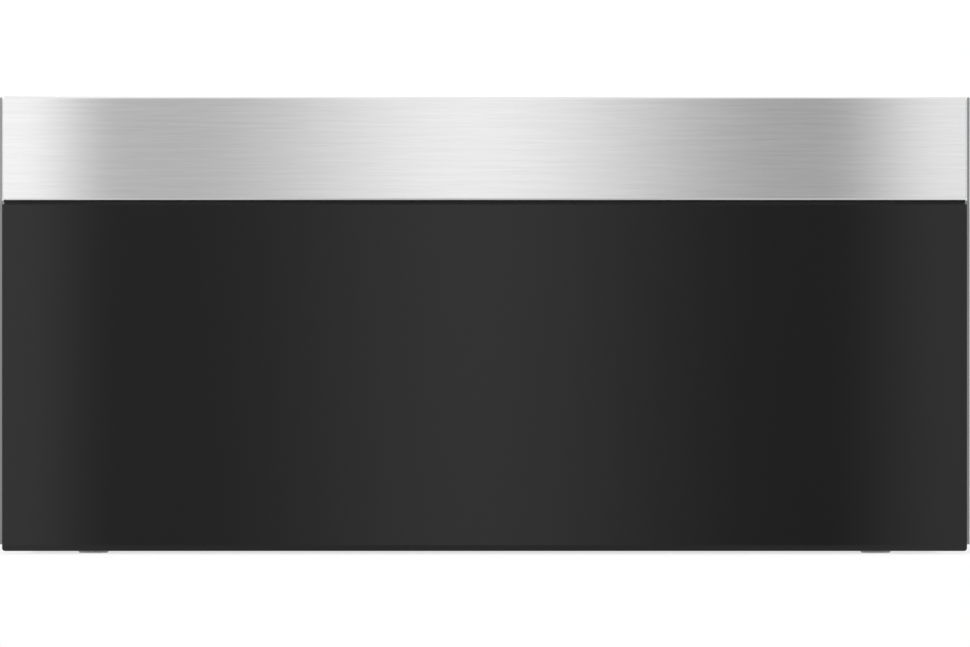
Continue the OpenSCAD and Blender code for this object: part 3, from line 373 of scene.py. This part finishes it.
def soft_rubber(name, tone):
    f = Finish(name)
    pebble = f.group(PEBBLE, Scale=1100.0)
    dust = f.group(DUST, Amount=0.25)
    base = f.mix(pebble.outputs["Tone"], grey(tone * 0.88), grey(tone * 1.14))
    f.colour(f.mix(dust.outputs["Mask"], base, grey(tone * 2.0 + 0.02)))
    f.rough(f.range(pebble.outputs["Height"], 0.3, 0.7, 0.6, 0.78))
    f.bump(pebble.outputs["Height"], 0.05 * MM, 0.8)
    return f.material


def dotted_rubber(name, tone):
    """Silicone sheet, its raised dots lighter at their rims: a little polish from what has stood on
    them, and a painted highlight.
    """
    f = Finish(name, Specular_IOR_Level=0.6)
    pebble = f.group(PEBBLE, Scale=1100.0)
    edge = f.group(EDGES, Radius=1.2 * MM, Amount=0.8)
    dust = f.group(DUST, Amount=0.1)
    base = f.mix(pebble.outputs["Tone"], grey(tone * 0.85), grey(tone * 1.15))
    # Lighter dome rims: a painted highlight, with some polish from use.
    polished = f.mix(edge.outputs["Mask"], base, grey(tone * 2.6))
    f.colour(f.mix(dust.outputs["Mask"], polished, grey(tone * 2.0 + 0.02)))
    f.rough(f.range(pebble.outputs["Height"], 0.3, 0.7, 0.42, 0.58))
    f.bump(pebble.outputs["Height"], 0.04 * MM, 0.7)
    return f.material


def polished_wire(name, tone):
    f = Finish(name, metallic=1.0)
    haze = f.group(PEBBLE, Scale=300.0)
    f.colour(f.mix(haze.outputs["Tone"], grey(tone * 0.95, 0.008), grey(tone * 1.03, 0.012)))
    f.rough(f.range(haze.outputs["Tone"], 0.3, 0.7, 0.07, 0.14))
    return f.material


def circuit_board(name):
    """Green lacquer over copper tracks."""
    f = Finish(name)
    tracks = f.tree.nodes.new("ShaderNodeTexVoronoi")
    tracks.distance = "CHEBYCHEV"
    tracks.inputs["Scale"].default_value = 210.0
    f.tree.links.new(f.place, tracks.inputs["Vector"])
    distance = tracks.outputs["Distance"]
    f.colour(f.mix(f.range(distance, 0.42, 0.5, 0.0, 1.0), (0.012, 0.09, 0.04), (0.03, 0.2, 0.09)))
    f.rough(f.range(distance, 0.0, 1.0, 0.28, 0.45))
    f.bump(distance, 0.03 * MM)
    return f.material


def mineral_fibre(name):
    f = Finish(name)
    fibres = f.group(GRAIN, Stretch=(240, 60, 420))
    lumps = f.group(PEBBLE, Scale=160.0)
    base = f.mix(fibres.outputs["Tint"], (0.56, 0.53, 0.44), (0.8, 0.78, 0.7))
    f.colour(f.mix(f.range(lumps.outputs["Tone"], 0.35, 0.7, 0.0, 0.5), base, (0.66, 0.6, 0.48)))
    f.rough(f.range(lumps.outputs["Height"], 0.3, 0.7, 0.85, 0.98))
    f.bump(fibres.outputs["Height"], 1.2 * MM, 0.8)
    return f.material


def heat_darkened(name):
    f = Finish(name, metallic=1.0)
    haze = f.group(PEBBLE, Scale=240.0)
    clouds = f.range(haze.outputs["Tone"], 0.3, 0.7, 0.0, 1.0)
    f.colour(f.mix(clouds, (0.2, 0.17, 0.15), (0.34, 0.29, 0.25)))
    f.rough(f.range(haze.outputs["Height"], 0.3, 0.7, 0.4, 0.6))
    f.bump(haze.outputs["Height"], 0.03 * MM)
    return f.material


def printed_marks():
    f = Finish("printed_marks", Specular_IOR_Level=0.3)
    ink = f.group(PEBBLE, Scale=2600.0)
    f.colour(f.mix(ink.outputs["Tone"], grey(0.78), grey(0.88)))
    f.rough(f.range(ink.outputs["Height"], 0.3, 0.7, 0.4, 0.6))
    return f.material


GRAIN_X = (34.0, 1250.0, 1250.0)
GRAIN_Y = (1250.0, 14.0, 1250.0)
GRAIN_Z = (1250.0, 1250.0, 14.0)
finishes = {
    "brushed_stainless": brushed_steel("brushed_stainless", 0.85, GRAIN_X, 0.145, 1.0, 0.05),
    # The trim flanges get a darker copy of the band's steel (tone 0.4 against 0.85): painted shade,
    # for trims that stand back behind the front.
    "trim_steel": brushed_steel("trim_steel", 0.4, GRAIN_Z, 0.34, 0.8, 0.04),
    "satin_stainless": brushed_steel("satin_stainless", 0.62, GRAIN_Y, 0.36, 0.7, 0.04),
    "galvanised_steel": galvanised_steel("galvanised_steel", 0.46),
    "dark_glass": mirror_glass("dark_glass", 0.0016, 0.016),
    "black_glass": mirror_glass("black_glass", 0.004, 0.05),
    "black_painted_steel": powder_coat("black_painted_steel", 0.012),
    "circuit_board": circuit_board("circuit_board"),
    "mineral_fibre": mineral_fibre("mineral_fibre"),
    "heater_steel": heat_darkened("heater_steel"),
    "motor_steel": zinc_plate("motor_steel", 0.4, 0.42),
    "fan_steel": zinc_plate("fan_steel", 0.66, 0.28),
    "black_plastic": moulded_plastic("black_plastic", 0.018),
    "grey_plastic": moulded_plastic("grey_plastic", 0.2),
    "black_rubber": soft_rubber("black_rubber", 0.02),
    "pale_nylon": moulded_plastic("pale_nylon", 0.72, 0.5),
    "ribbed_mat": dotted_rubber("ribbed_mat", 0.045),
    "zinc_steel": zinc_plate("zinc_steel", 0.66, 0.26),
    "ball_steel": polished_wire("ball_steel", 0.8),
    "fastener_steel": zinc_plate("fastener_steel", 0.5, 0.26, stretch=(500, 500, 500)),
    "chrome_wire": polished_wire("chrome_wire", 0.86),
}

for part in record["subparts"]:
    node = nodes[part["node"]]
    node.data.materials.clear()
    node.data.materials.append(finishes[part["material_slot"]])


# ---------------------------------------------------------------- modelling steps


def deselect():
    bpy.ops.object.select_all(action="DESELECT")


def only(piece):
    """Selects a piece and nothing else, and makes it the active one."""
    deselect()
    piece.select_set(True)
    bpy.context.view_layer.objects.active = piece


def pick(piece, kind, test):
    """Enters edit mode on a piece and selects only the edges or faces that pass a test."""
    bpy.context.view_layer.objects.active = piece
    bpy.ops.object.mode_set(mode="EDIT")
    bpy.ops.mesh.select_mode(type=kind)
    bpy.ops.mesh.select_all(action="DESELECT")
    mesh = bmesh.from_edit_mesh(piece.data)
    mesh.normal_update()
    for item in mesh.edges if kind == "EDGE" else mesh.faces:
        if test(item):
            item.select_set(True)
    bmesh.update_edit_mesh(piece.data)


def pick_all(piece):
    """Enters edit mode on a piece and selects all of it."""
    bpy.context.view_layer.objects.active = piece
    bpy.ops.object.mode_set(mode="EDIT")
    bpy.ops.mesh.select_all(action="SELECT")


def done():
    bpy.ops.object.mode_set(mode="OBJECT")


def bevel_picked(width, steps):
    bpy.ops.mesh.bevel(offset=width, segments=steps, affect="EDGES")
    done()


def drop_picked():
    bpy.ops.mesh.delete(type="FACE")
    done()


def middle(edge):
    return (edge.verts[0].co + edge.verts[1].co) / 2


def runs(edge, axis):
    """Whether an edge runs along an axis, 0 for X, 1 for Y and 2 for Z."""
    way = edge.verts[1].co - edge.verts[0].co
    return abs(way[axis]) > 0.999 * way.length


def settle(piece):
    """Puts a piece's place, turn and scale into its mesh."""
    only(piece)
    bpy.ops.object.transform_apply(location=True, rotation=True, scale=True)


def block(name, lo, hi):
    """A box between two corners."""
    deselect()
    centre = [(a + b) / 2 for a, b in zip(lo, hi)]
    bpy.ops.mesh.primitive_cube_add(size=1, location=centre)
    piece = bpy.context.object
    piece.name = name
    piece.scale = [b - a for a, b in zip(lo, hi)]
    settle(piece)
    return piece


def disc(radius, depth, centre):
    """A round that faces the front, about its centre."""
    deselect()
    bpy.ops.mesh.primitive_cylinder_add(
        vertices=24, radius=radius, depth=depth, location=centre, rotation=(math.pi / 2, 0, 0)
    )
    piece = bpy.context.object
    settle(piece)
    return piece


def finish_with(piece, kind, **settings):
    """Adds a modifier and applies it."""
    bpy.context.view_layer.objects.active = piece
    modifier = piece.modifiers.new(kind.lower(), kind)
    for key, value in settings.items():
        setattr(modifier, key, value)
    bpy.ops.object.modifier_apply(modifier=modifier.name)


def soften(piece, width, degrees):
    """Rounds the edges of a piece that turn by more than an angle."""
    finish_with(
        piece, "BEVEL", width=width, segments=2, limit_method="ANGLE",
        angle_limit=math.radians(degrees),
    )


def smooth(piece, degrees):
    only(piece)
    bpy.ops.object.shade_smooth_by_angle(angle=math.radians(degrees))


def keep_flats(piece):
    """Leans shading normals on the large flats, so that they reflect flat up to the bevels."""
    finish_with(piece, "WEIGHTED_NORMAL", mode="FACE_AREA", weight=100, keep_sharp=True)


def dress(piece, slot, body, *replaced, material=None):
    """Gives a piece the finish of its slot, or the material given, ties it to its body, and hides
    the nodes it stands for.
    """
    piece.data.materials.clear()
    piece.data.materials.append(material or finishes[slot])
    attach(piece, body)
    if replaced:
        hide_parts(*replaced)


def joined(pieces, name):
    deselect()
    for piece in pieces:
        piece.select_set(True)
    bpy.context.view_layer.objects.active = pieces[0]
    bpy.ops.object.join()
    pieces[0].name = name
    return pieces[0]


def copies(piece, places, name):
    """The piece set down at each place, each copy with its own mesh, joined into one."""
    made = [piece]
    for _ in places[1:]:
        only(piece)
        bpy.ops.object.duplicate(linked=False)
        made.append(bpy.context.object)
    for one, place in zip(made, places):
        one.location = place
        settle(one)
    return joined(made, name)


def centres(node, reach):
    """Middles of the separate small solids of a node, each within reach of its first point."""
    groups = []
    for vertex in nodes[node].data.vertices:
        for group in groups:
            if (group[0] - vertex.co).length < reach:
                group.append(vertex.co)
                break
        else:
            groups.append([vertex.co])
    return [
        [(min(v[i] for v in group) + max(v[i] for v in group)) / 2 for i in range(3)]
        for group in groups
    ]


# ---------------------------------------------------------------- pieces modelled here

GLASS_FOOT_R = 2.4 * MM
GLASS_TOP_R = 0.4 * MM
GLASS_FACE_ARRIS = 0.5 * MM
GLASS_BACK_ARRIS = 0.3 * MM


def make_glass_panel():
    """The front glass: foot corners rounded, and a polished arris all round its face."""
    lo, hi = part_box("front_glass")
    glass = block("glass_panel", lo, hi)
    pick(glass, "EDGE", lambda e: runs(e, 1) and middle(e).z < lo[2] + MM)
    bevel_picked(GLASS_FOOT_R, 8)
    pick(glass, "EDGE", lambda e: runs(e, 1) and middle(e).z > hi[2] - MM)
    bevel_picked(GLASS_TOP_R, 3)
    for y, width, steps in ((lo[1], GLASS_FACE_ARRIS, 3), (hi[1], GLASS_BACK_ARRIS, 2)):
        pick(glass, "EDGE", lambda e: all(abs(v.co.y - y) < SAME_PLACE for v in e.verts))
        bevel_picked(width, steps)
    smooth(glass, 40)
    keep_flats(glass)
    dress(glass, "dark_glass", "drawer", "front_glass")


BAND_FOLD = 2.8 * MM
BAND_SHEET = 1.2 * MM
BAND_LIP = 4.1 * MM
BAND_EDGE_R = 0.25 * MM
BAND_END_R = 1.4 * MM
BAND_END_STEPS = 4


def make_steel_band():
    """The band: one sheet folded back along its top and foot and closed at the ends, corners
    ground soft."""
    lo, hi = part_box("front_band")
    band = block(
        "steel_band", (lo[0] + BAND_END_R, lo[1], lo[2]), (hi[0] - BAND_END_R, hi[1], hi[2])
    )
    pick(band, "EDGE", lambda e: runs(e, 0) and middle(e).y < lo[1] + MM)
    bevel_picked(BAND_FOLD, 10)
    # Each end is drawn out over its rounded edge, a quarter circle in steps
    turns = [math.radians(90 * k / BAND_END_STEPS) for k in range(BAND_END_STEPS + 1)]
    for a, b in zip(turns, turns[1:]):
        pick(band, "FACE", lambda f: abs(f.normal.x) > 0.999)
        bpy.ops.mesh.inset(
            thickness=BAND_END_R * (math.cos(a) - math.cos(b)),
            depth=BAND_END_R * (math.sin(b) - math.sin(a)),
            use_even_offset=True,
        )
        done()
    # The back is open, rounded rims of the end walls included
    pick(band, "FACE", lambda f: f.normal.y > 0.25)
    drop_picked()
    # The foot's fold is cut to a lip, so the ends keep their full depth and stand over the carrier
    lip_y = lo[1] + BAND_LIP
    pick(band, "FACE", lambda f: f.normal.z < -0.99)
    bpy.ops.mesh.bisect(plane_co=(0, lip_y, 0), plane_no=(0, 1, 0))
    done()
    pick(band, "FACE", lambda f: f.normal.z < -0.99 and f.calc_center_median().y > lip_y)
    drop_picked()
    finish_with(band, "SOLIDIFY", thickness=BAND_SHEET, offset=-1, use_even_offset=True)
    soften(band, BAND_EDGE_R, 50)
    smooth(band, 32)
    keep_flats(band)
    dress(band, "brushed_stainless", "drawer", "front_band")


MAT_DOT_STEP = 18 * MM
MAT_DOT_R = 3.6 * MM
MAT_DOT_H = 0.9 * MM
MAT_DOT_SINK = 0.2 * MM
MAT_RIM = 8 * MM
MAT_CORNER_R = 10 * MM
MAT_EDGE_R = 0.4 * MM


def make_dotted_mat():
    """The tray's mat: a thin sheet with round corners and rows of low domes for plates."""
    lo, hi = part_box("non_slip_mat")
    sheet = block("dotted_mat", lo, (hi[0], hi[1], hi[2] - MAT_DOT_H))
    pick(sheet, "EDGE", lambda e: runs(e, 2))
    bevel_picked(MAT_CORNER_R, 8)
    soften(sheet, MAT_EDGE_R, 60)
    # A dome is the upper half of a ball, closed by a flat foot that is sunk in the sheet
    foot = hi[2] - MAT_DOT_H - MAT_DOT_SINK
    wide, deep = (int((hi[i] - lo[i] - 2 * MAT_RIM) / MAT_DOT_STEP) for i in (0, 1))
    first = (
        (lo[0] + hi[0] - wide * MAT_DOT_STEP) / 2, (lo[1] + hi[1] - deep * MAT_DOT_STEP) / 2, foot
    )
    deselect()
    bpy.ops.mesh.primitive_uv_sphere_add(segments=12, ring_count=6, radius=1, location=first)
    dot = bpy.context.object
    dot.scale = (MAT_DOT_R, MAT_DOT_R, MAT_DOT_H + MAT_DOT_SINK)
    settle(dot)
    pick_all(dot)
    bpy.ops.mesh.bisect(
        plane_co=(0, 0, foot), plane_no=(0, 0, 1), clear_inner=True, use_fill=True
    )
    done()
    for count, step in ((wide + 1, (MAT_DOT_STEP, 0, 0)), (deep + 1, (0, MAT_DOT_STEP, 0))):
        finish_with(
            dot, "ARRAY", count=count, use_relative_offset=False, use_constant_offset=True,
            constant_offset_displace=step,
        )
    mat = joined([sheet, dot], "dotted_mat")
    smooth(mat, 40)
    dress(mat, "ribbed_mat", "drawer", "non_slip_mat")


# The touch strip's marks: thickness, stroke, and where each stands from left to right
MARK_T = 0.04 * MM
STROKE = 0.7 * MM
POWER_X, MINUS_X, LEVEL_X, PLUS_X = -175 * MM, -115 * MM, -96 * MM, -29 * MM
PLATE_X, CUP_X, DISH_X, CLOCK_X = 35 * MM, 85 * MM, 130 * MM, 175 * MM
LEVEL_DOTS = 7
LEVEL_STEP = 8 * MM


def mark_ring(x, z, y, radius, width, gap=0.0):
    """A flat ring printed at x, z; gap is the half angle in degrees left open at its top."""
    deselect()
    bpy.ops.mesh.primitive_circle_add(
        vertices=48, radius=radius, fill_type="NOTHING", location=(x, y, z),
        rotation=(math.pi / 2, 0, 0),
    )
    ring = bpy.context.object
    settle(ring)
    pick_all(ring)
    bpy.ops.mesh.extrude_edges_move()
    inner = 1 - width / radius
    bpy.ops.transform.resize(value=(inner, 1, inner), center_override=(x, y, z))
    done()

    def in_gap(face):
        c = face.calc_center_median()
        return abs(math.degrees(math.atan2(c.x - x, c.z - z))) < gap

    if gap:
        pick(ring, "FACE", in_gap)
        drop_picked()
    pick_all(ring)
    bpy.ops.mesh.extrude_region_move(TRANSFORM_OT_translate={"value": (0, -MARK_T, 0)})
    bpy.ops.mesh.select_all(action="SELECT")
    bpy.ops.mesh.normals_make_consistent(inside=False)
    done()
    return ring


def mark_bar(x, z, y, w, h, turn=0.0):
    """A flat bar with rounded ends, printed at x, z and turned about its middle."""
    bar = block("mark", (-w / 2, -MARK_T, -h / 2), (w / 2, 0, h / 2))
    pick(bar, "EDGE", lambda e: runs(e, 1))
    bevel_picked(min(w, h) * 0.48, 4)
    bar.rotation_euler = (0, turn, 0)
    bar.location = (x, y, z)
    settle(bar)
    return bar


def mark_dot(x, z, y, radius):
    """A flat dot with a soft rim, printed at x, z."""
    dot = disc(radius, MARK_T, (x, y - MARK_T / 2, z))
    pick(dot, "EDGE", lambda e: all(v.co.y < y - MARK_T / 2 for v in e.verts))
    bevel_picked(MARK_T / 2, 2)
    return dot


def make_touch_marks():
    """Plain printed marks of the touch strip: power, heat level with minus and plus, plates, cups,
    a dish and a timer."""
    lo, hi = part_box("control_glass")
    y = lo[1]
    z = (lo[2] + hi[2]) / 2
    marks = [
        mark_ring(POWER_X, z, y, 5 * MM, STROKE, 34),
        mark_bar(POWER_X, z + 3.9 * MM, y, STROKE, 4.6 * MM),
        mark_bar(MINUS_X, z, y, 7 * MM, STROKE),
    ]
    for i in range(LEVEL_DOTS):
        marks.append(mark_dot(LEVEL_X + i * LEVEL_STEP, z, y, 0.95 * MM + i * 0.12 * MM))
    marks += [
        mark_bar(PLUS_X, z, y, 7 * MM, STROKE),
        mark_bar(PLUS_X, z, y, STROKE, 7 * MM),
        # Plate from above
        mark_ring(PLATE_X, z, y, 5.6 * MM, STROKE),
        mark_ring(PLATE_X, z, y, 3.4 * MM, STROKE * 0.8),
        # Cup from the side: saucer, walls, floor and handle
        mark_bar(CUP_X, z - 4 * MM, y, 9 * MM, STROKE),
        mark_bar(CUP_X - 3.5 * MM, z, y, STROKE, 6.6 * MM, 0.12),
        mark_bar(CUP_X + 3.5 * MM, z, y, STROKE, 6.6 * MM, -0.12),
        mark_bar(CUP_X, z - 3.2 * MM, y, 6.6 * MM, STROKE),
        mark_ring(CUP_X + 5.5 * MM, z + 0.4 * MM, y, 2.1 * MM, STROKE * 0.9),
    ]
    # Steam lines over a dish
    for i in (-1, 0, 1):
        marks.append(mark_bar(DISH_X + i * 3 * MM, z + 1.5 * MM, y, STROKE, 5 * MM, 0.18))
    marks += [
        mark_bar(DISH_X, z - 3.6 * MM, y, 11 * MM, STROKE),
        # Clock
        mark_ring(CLOCK_X, z, y, 5 * MM, STROKE),
        mark_bar(CLOCK_X, z + 1.5 * MM, y, STROKE, 3.4 * MM),
        mark_bar(CLOCK_X + 1.3 * MM, z - 0.1 * MM, y, 3.0 * MM, STROKE),
    ]
    dress(joined(marks, "touch_marks"), "black_glass", "casing", material=printed_marks())


# Shares of a screw head's height: its rounding, and the depth of its cross recess
SCREW_DOME, CROSS_DEPTH = 0.62, 0.55
# Shares of the head's radius: half the length and half the width of a cross bar
CROSS_ARM, CROSS_SLOT = 0.56, 0.12
# Width of the tip as a share of the shank's
SCREW_POINT = 0.3
# Screws of one node stand further apart than this
SCREW_REACH = 20 * MM


def make_screws(name, node, body, head_r, head_h, shank_r):
    """A node's screws, with domed heads that face the back and a cross recess in each."""
    lo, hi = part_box(node)
    seat = hi[1] - head_h
    screw = disc(head_r, head_h, (0, seat + head_h / 2, 0))
    pick(screw, "EDGE", lambda e: all(v.co.y > hi[1] - SAME_PLACE for v in e.verts))
    bevel_picked(head_h * SCREW_DOME, 3)
    # The shank is drawn out of the seat side of the head, and its end drawn in to a point
    pick(screw, "FACE", lambda f: f.normal.y < -0.99)
    bpy.ops.mesh.inset(thickness=head_r - shank_r)
    for length in (seat - lo[1] - MM, MM):
        bpy.ops.mesh.extrude_region_move(TRANSFORM_OT_translate={"value": (0, -length, 0)})
    bpy.ops.transform.resize(value=(SCREW_POINT, 1, SCREW_POINT), center_override=(0, lo[1], 0))
    done()
    deep, past = hi[1] - CROSS_DEPTH * head_h, hi[1] + head_h
    for half_x, half_z in ((CROSS_SLOT, CROSS_ARM), (CROSS_ARM, CROSS_SLOT)):
        x, z = half_x * head_r, half_z * head_r
        cutter = block("cross", (-x, deep, -z), (x, past, z))
        finish_with(screw, "BOOLEAN", operation="DIFFERENCE", solver="EXACT", object=cutter)
        bpy.data.objects.remove(cutter)
    smooth(screw, 35)
    screws = copies(screw, [(c[0], 0, c[2]) for c in centres(node, SCREW_REACH)], name)
    dress(screws, "fastener_steel", body, node)


make_glass_panel()
make_steel_band()
make_dotted_mat()
make_touch_marks()
make_screws(
    "cross_head_casing_screws", "casing_screws", "casing",
    head_r=3.4 * MM, head_h=1.7 * MM, shank_r=1.5 * MM,
)
make_screws(
    "cross_head_front_screws", "front_screws", "drawer",
    head_r=4 * MM, head_h=2.2 * MM, shank_r=2 * MM,
)


# ---------------------------------------------------------------- studio and camera

front_lo, front_hi = (tuple(c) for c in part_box("front_band"))
glass_lo, glass_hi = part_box("front_glass")
front_y = glass_lo[1]
front_w = front_hi[0] - front_lo[0]
front_mid_z = (glass_lo[2] + front_hi[2]) / 2

# The photograph: its frame, and the front's left and right edges in it
PHOTO_W = 970
EDGE_LEFT, EDGE_RIGHT = 2.0, 967.1
LENS = 1000.0
SENSOR = 36.0


def set_camera():
    """Square on to the front, from as far as the photograph was taken."""
    metres_per_pixel = front_w / (EDGE_RIGHT - EDGE_LEFT)
    distance = metres_per_pixel * PHOTO_W * LENS / SENSOR
    off_centre = (PHOTO_W / 2 - (EDGE_LEFT + EDGE_RIGHT) / 2) * metres_per_pixel
    data = bpy.data.cameras.new("camera")
    data.lens = LENS
    data.sensor_width = SENSOR
    data.clip_start = 0.1
    data.clip_end = 100
    camera = bpy.data.objects.new("camera", data)
    bpy.context.collection.objects.link(camera)
    camera.location = (off_centre, front_y - distance, front_mid_z)
    camera.rotation_euler = (math.pi / 2, 0, 0)
    bpy.context.scene.camera = camera


def seen(tree):
    """One for the eye, in reflections and through glass, and zero for light on the object;
    returns this and the mask of the eye alone."""
    path = tree.nodes.new("ShaderNodeLightPath").outputs
    eye = path["Is Camera Ray"]
    mask = math_node(tree, "ADD", eye, path["Is Glossy Ray"], clamp=True)
    return math_node(tree, "ADD", mask, path["Is Transmission Ray"], clamp=True), eye


# How brightly the white surround lights the object
WORLD_LEVEL = 0.5


def set_world():
    """A white surround for the eye and for reflections, and a plain soft level on the object."""
    world = bpy.data.worlds.new("studio")
    world.use_nodes = True
    tree = world.node_tree
    background = tree.nodes["Background"]
    background.inputs["Color"].default_value = (1, 1, 1, 1)
    mask, _ = seen(tree)
    strength = map_range(tree, mask, 0.0, 1.0, WORLD_LEVEL, 1.0)
    tree.links.new(strength, background.inputs["Strength"])
    bpy.context.scene.world = world


# Name, place, size and power of each lamp, all aimed at one point
LAMPS = (
    ("key_light", (-1.6, -2.2, 2.4), (1.8, 1.8), 42),
    ("fill_light", (2.2, -1.6, 1.6), (1.6, 1.6), 13),
    ("back_light", (0.6, 2.4, 2.0), (2.0, 1.4), 15),
)
LAMP_AIM = Vector((0, 0, 0.15))


def set_lights():
    for name, place, size, power in LAMPS:
        data = bpy.data.lights.new(name, "AREA")
        data.shape = "RECTANGLE"
        data.size, data.size_y = size
        data.energy = power
        lamp = bpy.data.objects.new(name, data)
        bpy.context.collection.objects.link(lamp)
        lamp.location = place
        lamp.rotation_euler = (LAMP_AIM - Vector(place)).to_track_quat("-Z", "Y").to_euler()
        lamp.visible_camera = False


def stage_plane(name, size, place, rotation=(0, 0, 0)):
    deselect()
    bpy.ops.mesh.primitive_plane_add(size=1, location=place, rotation=rotation)
    plane = bpy.context.object
    plane.name = name
    plane.scale = (size[0], size[1], 1)
    bpy.ops.object.transform_apply(location=False, rotation=True, scale=True)
    return plane


def stage_material(plane):
    """A new material for a plane; returns its tree and its place split into X, Y and Z."""
    m = bpy.data.materials.new(plane.name)
    m.use_nodes = True
    plane.data.materials.append(m)
    tree = m.node_tree
    split = tree.nodes.new("ShaderNodeSeparateXYZ")
    tree.links.new(tree.nodes.new("ShaderNodeTexCoord").outputs["Object"], split.inputs[0])
    return tree, split.outputs


def mixed_shader(tree, mask, low, high):
    n = tree.nodes.new("ShaderNodeMixShader")
    tree.links.new(mask, n.inputs[0])
    tree.links.new(low.outputs[0], n.inputs[1])
    tree.links.new(high.outputs[0], n.inputs[2])
    return n


def smooth_bump(tree, x, centre, half_width, soft):
    """One where x is within half_width of centre, falling smoothly to zero over soft."""
    away = math_node(tree, "ABSOLUTE", math_node(tree, "SUBTRACT", x, centre))
    return map_range(tree, away, half_width, half_width + soft, 1.0, 0.0, kind="SMOOTHSTEP")


def patch(tree, across, along):
    """A smooth-edged patch of a plane; across and along hold what smooth_bump takes."""
    return math_node(tree, "MULTIPLY", smooth_bump(tree, *across), smooth_bump(tree, *along))


FLOOR_SIZE = 7
FLOOR_TONE = 0.86
# By the object: the glow's strength, and its share of what the floor gives
FLOOR_NEAR_GLOW = 1.2
FLOOR_NEAR_SHARE = 0.55


def set_floor():
    """A pale floor that keeps the object's shadow and joins the white ground without a seam."""
    floor = stage_plane("floor", (FLOOR_SIZE, FLOOR_SIZE), (0, 0, 0))
    tree, place = stage_material(floor)
    shader = tree.nodes["Principled BSDF"]
    shader.inputs["Base Color"].default_value = (FLOOR_TONE, FLOOR_TONE, FLOOR_TONE, 1)
    shader.inputs["Roughness"].default_value = 0.9
    shader.inputs["Specular IOR Level"].default_value = 0.0
    # By the object about half of the floor's white is lit by the lamps, so that it holds a shadow
    near = patch(tree, (place["X"], 0.0, 0.42, 0.8), (place["Y"], 0.1, 0.3, 0.8))
    mask, eye = seen(tree)
    held = math_node(tree, "MULTIPLY", near, eye)
    glow = tree.nodes.new("ShaderNodeEmission")
    strength = map_range(tree, held, 0.0, 1.0, 1.0, FLOOR_NEAR_GLOW)
    tree.links.new(strength, glow.inputs["Strength"])
    share = map_range(tree, held, 0.0, 1.0, 1.0, FLOOR_NEAR_SHARE)
    share = math_node(tree, "MULTIPLY", mask, share)
    top = mixed_shader(tree, share, shader, glow)
    # From below it is clear, and shows the underside
    below = tree.nodes.new("ShaderNodeNewGeometry").outputs["Backfacing"]
    side = mixed_shader(tree, below, top, tree.nodes.new("ShaderNodeBsdfTransparent"))
    tree.links.new(side.outputs[0], tree.nodes["Material Output"].inputs[0])


def glow_in_reflections(tree, level, inside):
    """Makes a board that only reflections show: it glows at level where inside is one, and is
    clear elsewhere."""
    tree.nodes.remove(tree.nodes["Principled BSDF"])
    glow = tree.nodes.new("ShaderNodeEmission")
    tree.links.new(level, glow.inputs["Strength"])
    clear = tree.nodes.new("ShaderNodeBsdfTransparent")
    path = tree.nodes.new("ShaderNodeLightPath")
    mask = math_node(tree, "MULTIPLY", path.outputs["Is Glossy Ray"], inside)
    mix = mixed_shader(tree, mask, clear, glow)
    tree.links.new(mix.outputs[0], tree.nodes["Material Output"].inputs[0])


CARD_GAP = 0.62
CARD_SIZE = (6.4, 2.2)
CARD_LEFT, CARD_RIGHT = 0.565, 0.375
CARD_PAST_LAMPS = 0.35
# Centre, half width, soft rim and brightness of each lamp
CARD_LAMPS = (
    (-0.70, 0.322, 0.085, 0.50),
    (-0.004, 0.0, 0.252, 0.50),
    (0.70, 0.32, 0.109, 0.48),
)


def set_reflector():
    """The card in front of the drawer that its steel and glass reflect: grey, a little lighter to
    the left, with a lamp in the middle and one past each end of the front."""
    card = stage_plane(
        "reflector_card", CARD_SIZE, (0, front_y - CARD_GAP, front_mid_z), (math.pi / 2, 0, 0)
    )
    tree, place = stage_material(card)
    x, z = place["X"], place["Z"]
    level = map_range(tree, x, -0.5, 0.5, CARD_LEFT, CARD_RIGHT)
    for centre, half_width, soft, gain in CARD_LAMPS:
        lamp = math_node(tree, "MULTIPLY", smooth_bump(tree, x, centre, half_width, soft), gain)
        level = math_node(tree, "ADD", level, lamp)
    level = math_node(tree, "MULTIPLY", level, map_range(tree, z, -0.2, 0.2, 0.95, 1.03))
    # Past the outer lamps it is dark, which draws the thin dark line at each end of the front
    lit = map_range(tree, smooth_bump(tree, x, 0.0, 0.95, 0.15), 0.0, 1.0, CARD_PAST_LAMPS, 1.0)
    level = math_node(tree, "MULTIPLY", level, lit)
    # Towards its rim the card fades into the white surround
    glow_in_reflections(tree, level, patch(tree, (x, 0.0, 2.5, 0.6), (z, 0.0, 0.35, 0.7)))


BOARD_GAP = 0.42
BOARD_SIZE = (1.6, 0.9)
BOARD_LIFT = 1.5 * MM
# Lighter towards the ends of the front, as the card is
BOARD_ENDS, BOARD_MIDDLE = 0.84, 0.62


def set_floor_board():
    """A dark board on the floor before the front, in which the folds at the band's foot and the
    glass's rim darken."""
    board = stage_plane("floor_board", BOARD_SIZE, (0, front_y - BOARD_GAP, BOARD_LIFT))
    tree, place = stage_material(board)
    x, y = place["X"], place["Y"]
    inside = patch(tree, (x, 0.0, 0.5, 0.3), (y, 0.0, 0.3, 0.15))
    middle_zone = smooth_bump(tree, x, 0.0, 0.27, 0.1)
    level = map_range(tree, middle_zone, 0.0, 1.0, BOARD_ENDS, BOARD_MIDDLE)
    glow_in_reflections(tree, level, inside)


bpy.context.scene.view_settings.view_transform = "Standard"
set_camera()
set_world()
set_lights()
set_floor()
set_reflector()
set_floor_board()
